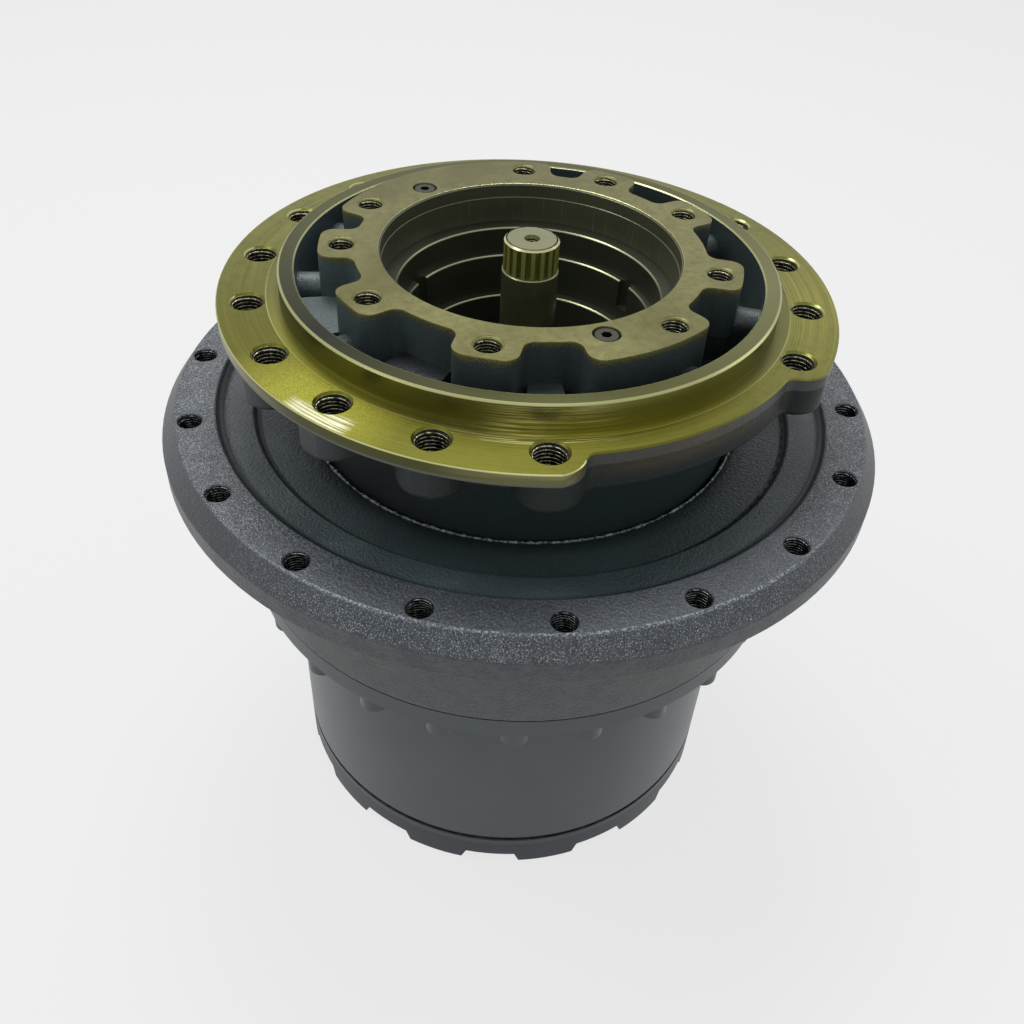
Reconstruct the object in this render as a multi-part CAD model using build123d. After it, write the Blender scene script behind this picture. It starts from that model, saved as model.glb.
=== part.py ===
# Travel reduction gearbox of a crawler excavator, shown without its hydraulic motor.
# Axis +Z, motor side up. The origin is on the axis, on the plane of the cover's lugs,
# which the gearbox stands on. The cut-out of the frame flange looks towards -Y.
# The spindle is bolted to the track frame and stands still; the hub, the ring gear
# and the cover turn around it and carry the track sprocket.
# Every radius, height and depth is in millimetres, every angle in degrees.
import os
from math import acos, atan2, cos, degrees, hypot, pi, radians, sin, tan

from build123d import *

# Fits: play between pieces that are seated, that run on each other, and that mesh.
SEAT_PLAY = 0.02
RUN_PLAY = 0.05
FACE_PLAY = 0.1
FLANK_THINNING = 0.12
SPLINE_PLAY = 0.15

# Sprocket hub
HUB_TOP = 349.0
HUB_RIM_R = 250.0
HUB_FLANGE = 29.5
HUB_TOP_EDGE_R = 240.0
HUB_TOP_CHAMFER = 14.0
STEP_OUTER_R = 213.5
STEP_OUTER_DEPTH = 7.0
STEP_OUTER_ROUND = 8.0
STEP_INNER_R = 189.0
STEP_INNER_DEPTH = 6.0
STEP_INNER_ROUND = 4.5
HUB_LIP_R = 151.0
HUB_LIP_DEPTH = 14.6
BARREL_R = 203.5
PILOT_LAND_R = 205.0
PILOT_LAND = 20.0
HUB_JOINT = 223.0
SPROCKET_PCD_R = 230.0
SPROCKET_BOLTS = 18
SPROCKET_HOLE_R = 8.0
SPROCKET_PHASE = 2.5
CAST_SINK = 0.7

# Frame flange, pilot and neck of the spindle
FRAME_FACE = 429.0
FRAME_RIM_R = 202.0
FRAME_RIM = 8.6
FRAME_EDGE = 0.7
FRAME_BODY_R = 184.5
FRAME_BODY = 28.0
FRAME_BODY_ROUND = 4.0
FRAME_PCD_R = 182.6
FRAME_PLACES = 18
FRAME_HOLE_R = 10.0
FACE_SINK = 1.4
FRAME_BOSS_R = 20.0
FRAME_FILLET = 8.0
CUT_OUT_FROM = 240.0
CUT_OUT_TO = 300.0
PILOT_R = 162.7
PILOT_HEIGHT = 16.0
PILOT_BORE_R = 152.0
RELIEF_R = 171.0
RELIEF_DEPTH = 0.6
NECK_R = 148.0
CAVITY_FLOOR = 403.0

# Motor face and stepped motor bore of the spindle
MOTOR_FACE = 454.0
MOTOR_BORE = ((97.5, 425.0), (87.5, 406.0), (82.5, 377.0))
INNER_BORE_R = 75.7
MOTOR_HOLE_PCD_R = 122.0
MOTOR_HOLE_R = 8.0
MOTOR_HOLE_DEPTH = 36.0
MOTOR_HOLES = (31.0, 60.0, 93.7, 134.9, -31.0, -60.0, -93.7, -134.9, -170.0)
MOTOR_AXIS = 90.0
BOSS_WIDTH = 39.0
BOSS_CORE_R = 114.5
BOSS_FILLET = 8.0
LOBE_R = 136.5
LOBE_ROUND = 9.0
LOBES = ((59.0, 121.0), (250.5, 280.0))
RIB_R = 10.0
RIB_TOP = 432.0
PAD_TOP = 426.0
PADS = ((158.0, 177.0), (196.0, 213.0), (236.0, 246.0))
LOBE_FOOT_R = 140.0
LOBE_FOOT_TOP = 428.0
PLUG_PCD_R = 111.2
PLUG_ANGLES = (99.1, 259.2)
PLUG_R = 7.6
PLUG_POCKET_R = 8.6
PLUG_DEPTH = 12.0
BORE_POCKETS = 3
BORE_POCKET_R = 5.5
BORE_POCKET_DEPTH = 20.0

# Main bearings: two angular contact ball bearings, back to back
BEARING_BORE_R = 110.0
BEARING_OUTER_R = 138.0
BEARING_WIDTH = 35.0
BALL_R = 9.5
BALLS = 24
RACE_SHOULDER = 4.4
CAGE_WALL = 5.0
CAGE_WIDTH = 26.0
SHOULDER_Z = 299.0
RIB_WIDTH = 7.0
HUB_RIB_R = 130.0
SPINDLE_SHOULDER_R = 118.0
NUT_R = 127.0
NUT_WIDTH = 16.0
NUT_SLOTS = 4
NUT_SLOT = 14.0
NUT_PINS = 3
NUT_PIN_R = 3.0

# Floating face seal between spindle and hub
SEAL_PLANE = 320.0
SEAL_BORE_R = 123.0
SEAL_LIP_R = 139.0
SEAL_LIP = 4.5
SEAL_BODY_R = 131.9
SEAL_WIDTH = 15.0
TORIC_R = 4.9
TORIC_AT = 10.5
SEAL_HOUSING_R = 142.0
SEAL_HOUSING = 17.0
SEAL_GAP = 2.0

# Ring gear and cover
RING_R = 174.5
RING_FLANGE_R = 203.0
RING_FLANGE = 16.0
COVER_JOINT = 34.5
JOINT_CHAMFER = 0.6
JOINT_GROOVE = 2.4
JOINT_GROOVE_DEPTH = 3.0
RING_BORE_R = 150.0
RING_TEETH_LOW = 44.0
RING_TEETH_HIGH = 182.0
RING_BOLTS = 24
RING_BOLT_PHASE = 12.5
RING_PCD_R = 191.0
RING_BOLT_R = 7.0
RING_BOLT_HEAD_R = 10.5
RING_BOLT_HEAD = 14.0
RING_BOLT_GRIP = 30.0
DOWEL_R = 5.0
DOWEL_DEPTH = 11.0
SPIGOT = 6.0
COVER_RIM_LOW = 11.0
LUGS = 12
LUG_PHASE = 9.0
LUG_TOP_HALF = 8.6
LUG_BOTTOM_HALF = 7.0
LUG_INNER_R = 149.0
COVER_FLOOR = 30.0
COVER_CENTRE_LOW = 14.0
COVER_DISH_R = 142.0
COVER_SPIGOT_R = 138.0
COVER_PCD_R = 162.3
COVER_BOLT_R = 6.0
COVER_BOLT_HEAD_R = 9.0
COVER_BOLT_HEAD = 12.0
COVER_BOLT_SINK = 1.0
COVER_BOLT_GRIP = 20.0
OIL_PLUG_PCD_R = 96.0
OIL_PLUG_ANGLES = (69.0, 189.0, 279.0)
OIL_PLUG_R = 10.0
OIL_PLUG_HEAD_R = 15.0
OIL_PLUG_HEAD = 5.0
ORING_R = 1.9
BUTTON_R = 36.0
BUTTON_STUD_R = 12.0

# Two planetary stages that share one ring gear
MODULE = 4.0
PRESSURE_ANGLE = 25.0
ADDENDUM = 4.0
DEDENDUM = 5.0
FLANK_STEPS = 3
PLANETS = 3
RING_TEETH = 72
SUN_1_TEETH = 12
PLANET_1_TEETH = 30
SUN_2_TEETH = 18
PLANET_2_TEETH = 27
PLANET_1_AT = 30.0
PLANET_2_AT = 90.0
FIRST_LOW = 37.0
FIRST_PLATE_LOW = 10.0
FIRST_PLATE_HIGH = 12.0
PLANET_1_WIDTH = 40.0
SECOND_PLATE_LOW = 12.0
PLANET_2_WIDTH = 48.0
SECOND_PLATE_HIGH = 24.0
SPINDLE_LOW = 202.0
WASHER = 4.0
WASHER_R = 41.0
CARRIER_R = 134.0
WINDOW_GAP = 2.0
SUN_GAP = 2.0
PIN_1_R = 24.0
ROLLER_1_R = 6.0
PIN_2_R = 21.0
ROLLER_2_R = 5.5
ROLLERS = 12
ROLLER_SHORT = 2.0
PIN_SHORT = 1.5
LOCK_R = 3.0
LOCK_TO_R = 130.0
SECOND_UPPER_BORE_R = 30.0
THRUST_RING_R = 62.0
THRUST_RING_BORE_R = 46.0
SPLINE_TEETH = 30
SPLINE_TIP_R = 72.0
SPLINE_ROOT_R = 75.4
SPLINE_LENGTH = 38.0

# Input shaft
SHAFT_TOP = 460.0
SHAFT_BODY_R = 18.8
SHAFT_SPLINE_R = 18.1
SHAFT_SPLINE_ROOT_R = 16.7
SHAFT_SPLINE_TEETH = 18
SHAFT_SPLINE = 21.0
SHAFT_EDGE = 1.3
SHAFT_LOW = 45.0
SHAFT_STUB = 3.0
CENTRE_THREAD_R = 4.0
CENTRE_THREAD = 20.0
SUN_2_BORE_R = 20.5
SNAP_RING_R = 2.0

# Heights that follow from the sizes above
HUB_UNDER = HUB_TOP - HUB_FLANGE
RING_FLANGE_LOW = HUB_JOINT - RING_FLANGE
BALL_CIRCLE_R = (BEARING_BORE_R + BEARING_OUTER_R) / 2
INBOARD_LOW = SHOULDER_Z - BEARING_WIDTH
OUTBOARD_LOW = INBOARD_LOW - RIB_WIDTH - BEARING_WIDTH
FIRST_PLANET_LOW = FIRST_LOW + FIRST_PLATE_LOW + WASHER
FIRST_UPPER_LOW = FIRST_PLANET_LOW + PLANET_1_WIDTH + WASHER
FIRST_TOP = FIRST_UPPER_LOW + FIRST_PLATE_HIGH
SECOND_UPPER_LOW = SPINDLE_LOW - SECOND_PLATE_HIGH
SECOND_PLANET_LOW = SECOND_UPPER_LOW - WASHER - PLANET_2_WIDTH
SECOND_LOW = SECOND_PLANET_LOW - WASHER - SECOND_PLATE_LOW
SUN_2_TOP = SECOND_UPPER_LOW - SUN_GAP
ORBIT_1_R = MODULE * (SUN_1_TEETH + PLANET_1_TEETH) / 2
ORBIT_2_R = MODULE * (SUN_2_TEETH + PLANET_2_TEETH) / 2


def polar(radius, angle, height=0.0):
    """A place given by its distance from the axis, its angle and its height."""
    return Pos(radius * cos(radians(angle)), radius * sin(radians(angle)), height)


def around(count, phase=0.0):
    """Evenly spaced angles of a full turn."""
    return [phase + 360.0 * k / count for k in range(count)]


def section(corners):
    """A flat outline of (x, y) corners; a third number rounds that corner."""
    face = make_face(Polyline(*[c[:2] for c in corners], close=True))
    for x, y, radius in [c for c in corners if len(c) == 3]:
        near = [v for v in face.vertices() if hypot(v.X - x, v.Y - y) < 1e-5]
        face = fillet(near, radius)
    return face


def turned(*corners):
    """A body turned about the axis from (radius, height) corners of its half section."""
    return revolve(Plane.XZ * section(corners), Axis.Z)


def tube(outer, inner, low, high):
    """A plain round tube standing on the axis."""
    return turned((inner, low), (outer, low), (outer, high), (inner, high))


def rod(radius, low, high, edge=0.0):
    """A round bar with chamfered ends, or plain ones."""
    return turned(
        (0, low), (radius - edge, low), (radius, low + edge),
        (radius, high - edge), (radius - edge, high), (0, high),
    ) if edge else turned((0, low), (radius, low), (radius, high), (0, high))


def at_each(shape, radius, angles):
    """Copies of a shape at one radius, each turned to face outwards."""
    return [polar(radius, a) * Rot(0, 0, a) * shape for a in angles]


def group(solids):
    """Several separate solids kept together as one node."""
    return Compound(children=list(solids))


def tapped_hole(radius, low, high, sink):
    """The cutter of a threaded hole that opens upwards with a small countersink."""
    return turned(
        (0, low), (radius, low), (radius, high - sink),
        (radius + 2 * sink, high + sink), (0, high + sink),
    )


def socket_screw(radius, length, head_r, head, socket_r, socket_depth):
    """A socket head screw standing head down: the head starts at height 0."""
    body = turned(
        (0, 0), (head_r - 1.2, 0), (head_r, 1.2), (head_r, head), (radius, head),
        (radius, head + length - 1.5), (radius - 1.5, head + length), (0, head + length),
    )
    return body - extrude(RegularPolygon(socket_r, 6), socket_depth)


def involute(angle):
    """The involute function of an angle in radians."""
    return tan(angle) - angle


def toothed_face(teeth, inner_r, outer_r, extra, phase):
    """A toothed disc with a tooth centred on the phase angle.

    extra widens each flank at the pitch circle; a negative value thins it.
    """
    pitch_r = MODULE * teeth / 2
    base_r = pitch_r * cos(radians(PRESSURE_ANGLE))
    half_pitch = pi / (2 * teeth) + extra / pitch_r
    start_r = max(inner_r, base_r)
    flank = []
    for k in range(FLANK_STEPS + 1):
        r = start_r + (outer_r - start_r) * k / FLANK_STEPS
        half = half_pitch + involute(radians(PRESSURE_ANGLE)) - involute(acos(base_r / r))
        flank.append((r, half))
    if inner_r < base_r:
        flank.insert(0, (inner_r, flank[0][1]))
    points = []
    for centre in around(teeth, phase):
        for r, half in flank:
            points.append((r, radians(centre) - half))
        for r, half in reversed(flank):
            points.append((r, radians(centre) + half))
    return make_face(Polyline(*[(r * cos(a), r * sin(a)) for r, a in points], close=True))


def gear(teeth, low, high, phase):
    """An outside spur gear blank with thinned teeth."""
    pitch_r = MODULE * teeth / 2
    face = toothed_face(teeth, pitch_r - DEDENDUM, pitch_r + ADDENDUM, -FLANK_THINNING, phase)
    return Pos(0, 0, low) * extrude(face, high - low)


def planet_phase(teeth, at):
    """The turn of a planet at an angle, so that it meshes with the ring gear at rest."""
    part_of_pitch = (at * RING_TEETH / 360.0) % 1.0
    return at - part_of_pitch * 360.0 / teeth


def sun_phase(sun_teeth, planet_teeth, at):
    """The turn of a sun gear, so that it meshes with the planet at an angle."""
    pitch = 360.0 / planet_teeth
    part_of_pitch = ((at + 180.0 - planet_phase(planet_teeth, at)) / pitch) % 1.0
    return at + (part_of_pitch + 0.5) * 360.0 / sun_teeth


def spline_face(teeth, root_r, tip_r, play):
    """A toothed disc with straight-sided spline teeth; play narrows them."""
    points = []
    for centre in around(teeth):
        for r, share, side in ((root_r, 0.30, -1), (tip_r, 0.20, -1), (tip_r, 0.20, 1), (root_r, 0.30, 1)):
            half = share * 2 * pi / teeth - play / r
            a = radians(centre) + side * half
            points.append((r * cos(a), r * sin(a)))
    return make_face(Polyline(*points, close=True))


def boss_outline():
    """The lobed outline of the motor face: a core, a tab at each bolt, two wide lobes."""
    outline = Circle(BOSS_CORE_R)
    for a in MOTOR_HOLES:
        tab = Pos(0.6 * LOBE_R, 0) * Rectangle(1.2 * LOBE_R, BOSS_WIDTH)
        outline += Rot(0, 0, MOTOR_AXIS + a) * tab
    outline &= Rot(0, 0, 13) * Circle(LOBE_R)
    for start, end in LOBES:
        far = 2 * LOBE_R
        rays = [(far * cos(radians(a)), far * sin(radians(a))) for a in (start, (start + end) / 2, end)]
        outline += Circle(LOBE_R) & make_face(Polyline((0, 0), *rays, close=True))
    outline = soften_corners(outline, LOBE_R, LOBE_ROUND)
    return soften_corners(outline, BOSS_CORE_R, BOSS_FILLET)


def cast_pad(start, end, reach, low, high):
    """A raised pad on the floor of the cavity, from the motor face's core outward, between two angles."""
    far = 2 * reach
    rays = [(far * cos(radians(a)), far * sin(radians(a))) for a in (start, (start + end) / 2, end)]
    pad = Circle(reach) & make_face(Polyline((0, 0), *rays, close=True))
    pad -= Circle(BOSS_CORE_R - 4)
    return Pos(0, 0, low) * extrude(pad, high - low)


def soften_corners(outline, radius, size):
    """The outline with its inner corners on one circle filleted."""
    corners = [v for v in outline.vertices() if abs(hypot(v.X, v.Y) - radius) < 0.5]
    return fillet(corners, size)


def frame_bolt_angles():
    """The frame bolt places, without those that the cut-out removes."""
    return [a for a in around(FRAME_PLACES) if not CUT_OUT_FROM < a < CUT_OUT_TO]


def spindle_flange():
    """The frame flange: a thick body, a boss under each bolt and a thin rim with the cut-out."""
    rim = Circle(FRAME_RIM_R)
    far = 2 * FRAME_RIM_R
    rays = [(far * cos(radians(a)), far * sin(radians(a))) for a in (CUT_OUT_FROM, 270.0, CUT_OUT_TO)]
    rim -= make_face(Polyline((0, 0), *rays, close=True))
    bosses = [polar(FRAME_PCD_R, a) * Circle(FRAME_BOSS_R) for a in frame_bolt_angles()]
    low = (Circle(FRAME_BODY_R) + bosses) & Circle(FRAME_RIM_R)
    top = rim + low
    low = soften_corners(low, FRAME_BODY_R, FRAME_FILLET)
    top = soften_corners(top, FRAME_BODY_R, FRAME_FILLET)
    rim_low = FRAME_FACE - FRAME_RIM
    body_low = FRAME_FACE - FRAME_BODY
    upper = Pos(0, 0, rim_low) * extrude(top, FRAME_RIM - FRAME_EDGE)
    upper += Pos(0, 0, FRAME_FACE - FRAME_EDGE) * extrude(top, FRAME_EDGE, taper=45)
    lower = Pos(0, 0, body_low) * extrude(low, FRAME_BODY - FRAME_RIM)
    lower = fillet(lower.edges().group_by(Axis.Z)[0], FRAME_BODY_ROUND)
    return upper + lower


def spindle():
    """The fixed casting: frame flange, motor face, stepped bore, neck and bearing journal."""
    body_low = FRAME_FACE - FRAME_BODY
    skirt_low = SEAL_PLANE + SEAL_GAP
    housing_top = SEAL_PLANE + SEAL_HOUSING
    solid = spindle_flange()
    solid += turned(
        (0, SPINDLE_LOW), (BEARING_BORE_R - 1, SPINDLE_LOW), (BEARING_BORE_R, SPINDLE_LOW + 1),
        (BEARING_BORE_R, SHOULDER_Z), (SPINDLE_SHOULDER_R, SHOULDER_Z),
        (SPINDLE_SHOULDER_R, housing_top, 2), (SEAL_HOUSING_R, housing_top, 2),
        (SEAL_HOUSING_R, skirt_low), (NECK_R, skirt_low, 1), (NECK_R, body_low, 9),
        (FRAME_BODY_R - 6, body_low), (FRAME_BODY_R - 6, body_low + 3), (0, body_low + 3),
    )
    solid += turned(
        (PILOT_BORE_R - 8, FRAME_FACE - 4), (PILOT_R, FRAME_FACE - 4),
        (PILOT_R, FRAME_FACE + PILOT_HEIGHT - 1.2), (PILOT_R - 1.2, FRAME_FACE + PILOT_HEIGHT),
        (PILOT_BORE_R + 1, FRAME_FACE + PILOT_HEIGHT), (PILOT_BORE_R - 8, FRAME_FACE + PILOT_HEIGHT),
    )
    solid -= turned(
        (BOSS_CORE_R - 9, CAVITY_FLOOR), (PILOT_BORE_R - 1, CAVITY_FLOOR, 6),
        (PILOT_BORE_R, FRAME_FACE + PILOT_HEIGHT - 1), (PILOT_BORE_R + 3, FRAME_FACE + PILOT_HEIGHT + 2),
        (BOSS_CORE_R - 9, FRAME_FACE + PILOT_HEIGHT + 2),
    )
    solid -= tube(RELIEF_R, PILOT_R, FRAME_FACE - RELIEF_DEPTH, FRAME_FACE + 1)
    boss_low = CAVITY_FLOOR - 2
    solid += Pos(0, 0, boss_low) * extrude(boss_outline(), MOTOR_FACE - boss_low)
    for a in MOTOR_HOLES:
        rib_length = PILOT_BORE_R - BOSS_CORE_R + 4
        rib = Pos(0, 0, RIB_TOP - RIB_R) * Rot(0, 90, 0) * Cylinder(RIB_R, rib_length)
        rib += Pos(0, 0, (RIB_TOP - RIB_R + boss_low) / 2) * Box(rib_length, 2 * RIB_R, RIB_TOP - RIB_R - boss_low)
        turn = MOTOR_AXIS + a
        solid += polar(BOSS_CORE_R + rib_length / 2 - 2, turn) * Rot(0, 0, turn) * rib
    for start, end in PADS:
        solid += cast_pad(start, end, PILOT_BORE_R + 1, boss_low, PAD_TOP)
    start, end = LOBES[1]
    solid += cast_pad(start, end + 4, LOBE_FOOT_R, boss_low, LOBE_FOOT_TOP)
    solid -= motor_bore()
    for a in around(BORE_POCKETS):
        top_z = MOTOR_BORE[1][1]
        solid -= polar(MOTOR_BORE[2][0], a) * rod(BORE_POCKET_R, top_z - BORE_POCKET_DEPTH, top_z + 1)
    spline = spline_face(SPLINE_TEETH, SPLINE_TIP_R, SPLINE_ROOT_R, -SPLINE_PLAY)
    solid -= Pos(0, 0, SPINDLE_LOW - 1) * extrude(spline, SPLINE_LENGTH + 1)
    frame_hole = tapped_hole(FRAME_HOLE_R, FRAME_FACE - FRAME_BODY - 1, FRAME_FACE, FACE_SINK)
    for hole in at_each(frame_hole, FRAME_PCD_R, frame_bolt_angles()):
        solid -= hole
    motor_hole = tapped_hole(MOTOR_HOLE_R, MOTOR_FACE - MOTOR_HOLE_DEPTH, MOTOR_FACE, FACE_SINK)
    for hole in at_each(motor_hole, MOTOR_HOLE_PCD_R, [MOTOR_AXIS + a for a in MOTOR_HOLES]):
        solid -= hole
    pocket = rod(PLUG_POCKET_R, MOTOR_FACE - PLUG_DEPTH, MOTOR_FACE + 1)
    for hole in at_each(pocket, PLUG_PCD_R, PLUG_ANGLES):
        solid -= hole
    for hole in nut_pins(0.0):
        solid -= hole
    return solid


def motor_bore():
    """The cutter of the stepped bore that takes the motor, down to the spline."""
    edge = 1.5
    corners = [(0, MOTOR_FACE + 1)]
    upper_r = MOTOR_BORE[0][0]
    corners += [(upper_r + edge + 1, MOTOR_FACE + 1), (upper_r, MOTOR_FACE - edge)]
    line = MOTOR_FACE - 10.0
    corners += [(upper_r, line), (upper_r - 0.4, line - 0.4)]
    wall_r = upper_r - 0.4
    for radius, ledge in MOTOR_BORE[1:] + ((INNER_BORE_R, None),):
        ledge_z = MOTOR_BORE[[b[0] for b in MOTOR_BORE[1:]].index(radius)][1] if ledge else MOTOR_BORE[-1][1]
        corners += [(wall_r, ledge_z), (radius + 1, ledge_z), (radius, ledge_z - 1)]
        wall_r = radius
    spline_top = SPINDLE_LOW + SPLINE_LENGTH
    corners += [(INNER_BORE_R, spline_top), (SPLINE_TIP_R, spline_top - 2), (SPLINE_TIP_R, SPINDLE_LOW - 1)]
    corners += [(0, SPINDLE_LOW - 1)]
    return turned(*corners)


def nut_pins(play):
    """The lock pins on the thread line of the bearing nut, half in the nut and half in the spindle."""
    nut_low = OUTBOARD_LOW - NUT_WIDTH
    pin = rod(NUT_PIN_R - play, nut_low, nut_low + NUT_WIDTH * 0.7)
    return at_each(pin, BEARING_BORE_R, around(NUT_PINS, 30.0))


def bearing_nut():
    """The slotted nut that sets the play of the main bearings."""
    low = OUTBOARD_LOW - NUT_WIDTH
    nut = turned(
        (BEARING_BORE_R + SEAT_PLAY, low), (NUT_R - 1.5, low), (NUT_R, low + 1.5),
        (NUT_R, OUTBOARD_LOW), (BEARING_BORE_R + SEAT_PLAY, OUTBOARD_LOW),
    )
    slot = Pos(0, 0, low) * Box(NUT_SLOT, NUT_SLOT, NUT_WIDTH)
    for cut in at_each(slot, NUT_R, around(NUT_SLOTS)) + nut_pins(0.0):
        nut -= cut
    return nut


def bearing_inner(low):
    """An inner race, with its groove for the balls."""
    race = tube(BALL_CIRCLE_R - RACE_SHOULDER, BEARING_BORE_R + SEAT_PLAY, low, low + BEARING_WIDTH)
    groove = Torus(BALL_CIRCLE_R, BALL_R + RUN_PLAY)
    return race - Pos(0, 0, low + BEARING_WIDTH / 2) * groove


def bearing_outer(low):
    """An outer race, with its groove for the balls."""
    race = tube(BEARING_OUTER_R - SEAT_PLAY, BALL_CIRCLE_R + RACE_SHOULDER, low, low + BEARING_WIDTH)
    groove = Torus(BALL_CIRCLE_R, BALL_R + RUN_PLAY)
    return race - Pos(0, 0, low + BEARING_WIDTH / 2) * groove


def bearing_balls(low):
    """The balls of one main bearing."""
    ball = Pos(0, 0, low + BEARING_WIDTH / 2) * Sphere(BALL_R)
    return group(at_each(ball, BALL_CIRCLE_R, around(BALLS)))


def bearing_cage(low):
    """The cage that spaces the balls of one main bearing."""
    middle = low + BEARING_WIDTH / 2
    wall = CAGE_WALL / 2
    cage = tube(BALL_CIRCLE_R + wall, BALL_CIRCLE_R - wall, middle - CAGE_WIDTH / 2, middle + CAGE_WIDTH / 2)
    pocket = Pos(0, 0, middle) * Rot(0, 90, 0) * Cylinder(BALL_R + 3 * RUN_PLAY, 3 * CAGE_WALL)
    for cut in at_each(pocket, BALL_CIRCLE_R, around(BALLS)):
        cage -= cut
    return cage


def seal_ring(side):
    """One metal ring of the face seal, above (side 1) or below (side -1) the sealing plane."""
    z = lambda depth: SEAL_PLANE + side * depth
    return turned(
        (SEAL_BORE_R, z(0)), (SEAL_LIP_R, z(0)), (SEAL_LIP_R, z(SEAL_LIP)),
        (SEAL_BODY_R, z(SEAL_LIP)), (SEAL_BODY_R, z(SEAL_WIDTH)), (SEAL_BORE_R, z(SEAL_WIDTH)),
    )


def seal_oring(side):
    """The rubber ring that presses one seal ring against the other."""
    middle_r = (SEAL_BODY_R + SEAL_HOUSING_R) / 2
    return Pos(0, 0, SEAL_PLANE + side * TORIC_AT) * Torus(middle_r, TORIC_R)


def hub():
    """The turning casting that carries the sprocket, the main bearings and the ring gear."""
    housing_low = SEAL_PLANE - SEAL_HOUSING
    seal_face = SEAL_PLANE - SEAL_GAP
    bore_low = HUB_JOINT - SPIGOT
    outboard_top = OUTBOARD_LOW + BEARING_WIDTH
    step_1 = HUB_TOP - STEP_OUTER_DEPTH
    step_2 = step_1 - STEP_INNER_DEPTH
    lip = HUB_TOP - HUB_LIP_DEPTH
    solid = turned(
        (BEARING_OUTER_R, bore_low), (RING_BORE_R - SEAT_PLAY, bore_low),
        (RING_BORE_R - SEAT_PLAY, HUB_JOINT), (BARREL_R - 2, HUB_JOINT), (BARREL_R, HUB_JOINT + 2),
        (BARREL_R, HUB_UNDER - PILOT_LAND - 1.5), (PILOT_LAND_R, HUB_UNDER - PILOT_LAND),
        (PILOT_LAND_R, HUB_UNDER), (HUB_RIM_R - 2, HUB_UNDER), (HUB_RIM_R, HUB_UNDER + 2),
        (HUB_RIM_R, HUB_TOP - HUB_TOP_CHAMFER, 1.5), (HUB_TOP_EDGE_R, HUB_TOP, 2),
        (STEP_OUTER_R, HUB_TOP, 1.5), (STEP_OUTER_R - 4, step_1, STEP_OUTER_ROUND),
        (STEP_INNER_R, step_1, 1.5), (STEP_INNER_R - 3, step_2, STEP_INNER_ROUND),
        (HUB_LIP_R + 4, lip + 0.6, 4), (HUB_LIP_R, lip - 1),
        (HUB_LIP_R, seal_face, 1.5), (SEAL_HOUSING_R, seal_face),
        (SEAL_HOUSING_R, housing_low, 2), (BEARING_OUTER_R, housing_low),
        (BEARING_OUTER_R, INBOARD_LOW), (HUB_RIB_R, INBOARD_LOW),
        (HUB_RIB_R, outboard_top), (BEARING_OUTER_R, outboard_top),
    )
    hole = tapped_hole(SPROCKET_HOLE_R, HUB_UNDER - 1, HUB_TOP, CAST_SINK)
    for cut in at_each(hole, SPROCKET_PCD_R, around(SPROCKET_BOLTS, SPROCKET_PHASE)):
        solid -= cut
    bolt_hole = rod(RING_BOLT_R + SEAT_PLAY, HUB_JOINT - 1, HUB_JOINT + RING_BOLT_GRIP + 4)
    for cut in at_each(bolt_hole, RING_PCD_R, around(RING_BOLTS, RING_BOLT_PHASE)):
        solid -= cut
    for cut in dowels(0.0):
        solid -= cut
    return solid


def dowels(play):
    """The two dowels that line up the ring gear with the hub."""
    pin = rod(DOWEL_R - play, HUB_JOINT - DOWEL_DEPTH, HUB_JOINT + DOWEL_DEPTH)
    first = RING_BOLT_PHASE - 180.0 / RING_BOLTS
    return at_each(pin, RING_PCD_R, (first, first + 180.0))


def ring_gear():
    """The ring gear, which is also the wall of the gear case, with its bolting flange."""
    solid = turned(
        (0, COVER_JOINT), (RING_R - JOINT_CHAMFER, COVER_JOINT), (RING_R, COVER_JOINT + JOINT_CHAMFER),
        (RING_R, RING_FLANGE_LOW, 3), (RING_FLANGE_R - 1, RING_FLANGE_LOW),
        (RING_FLANGE_R, RING_FLANGE_LOW + 1), (RING_FLANGE_R, HUB_JOINT), (0, HUB_JOINT),
    )
    solid -= rod(RING_BORE_R, COVER_JOINT - 1, RING_TEETH_LOW)
    solid -= rod(RING_BORE_R, RING_TEETH_HIGH, HUB_JOINT + 1)
    pitch_r = MODULE * RING_TEETH / 2
    space = toothed_face(RING_TEETH, pitch_r - ADDENDUM, pitch_r + DEDENDUM, FLANK_THINNING, 0.0)
    solid -= Pos(0, 0, RING_TEETH_LOW - 1) * extrude(space, RING_TEETH_HIGH - RING_TEETH_LOW + 2)
    bolt_hole = rod(RING_BOLT_R + SEAT_PLAY, RING_FLANGE_LOW - 1, HUB_JOINT + 1)
    for cut in at_each(bolt_hole, RING_PCD_R, around(RING_BOLTS, RING_BOLT_PHASE)):
        solid -= cut
    cover_hole = rod(COVER_BOLT_R + SEAT_PLAY, COVER_JOINT - 1, COVER_JOINT + COVER_BOLT_GRIP + 4)
    for cut in at_each(cover_hole, COVER_PCD_R, around(LUGS, LUG_PHASE)):
        solid -= cut
    for cut in dowels(0.0):
        solid -= cut
    return solid


def ring_gear_bolts():
    """The screws that hold the ring gear on the hub, heads down."""
    screw = socket_screw(
        RING_BOLT_R, RING_FLANGE + RING_BOLT_GRIP, RING_BOLT_HEAD_R, RING_BOLT_HEAD,
        RING_BOLT_R, RING_BOLT_HEAD / 2,
    )
    screw = Pos(0, 0, RING_FLANGE_LOW - RING_BOLT_HEAD) * screw
    return group(at_each(screw, RING_PCD_R, around(RING_BOLTS, RING_BOLT_PHASE)))


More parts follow.
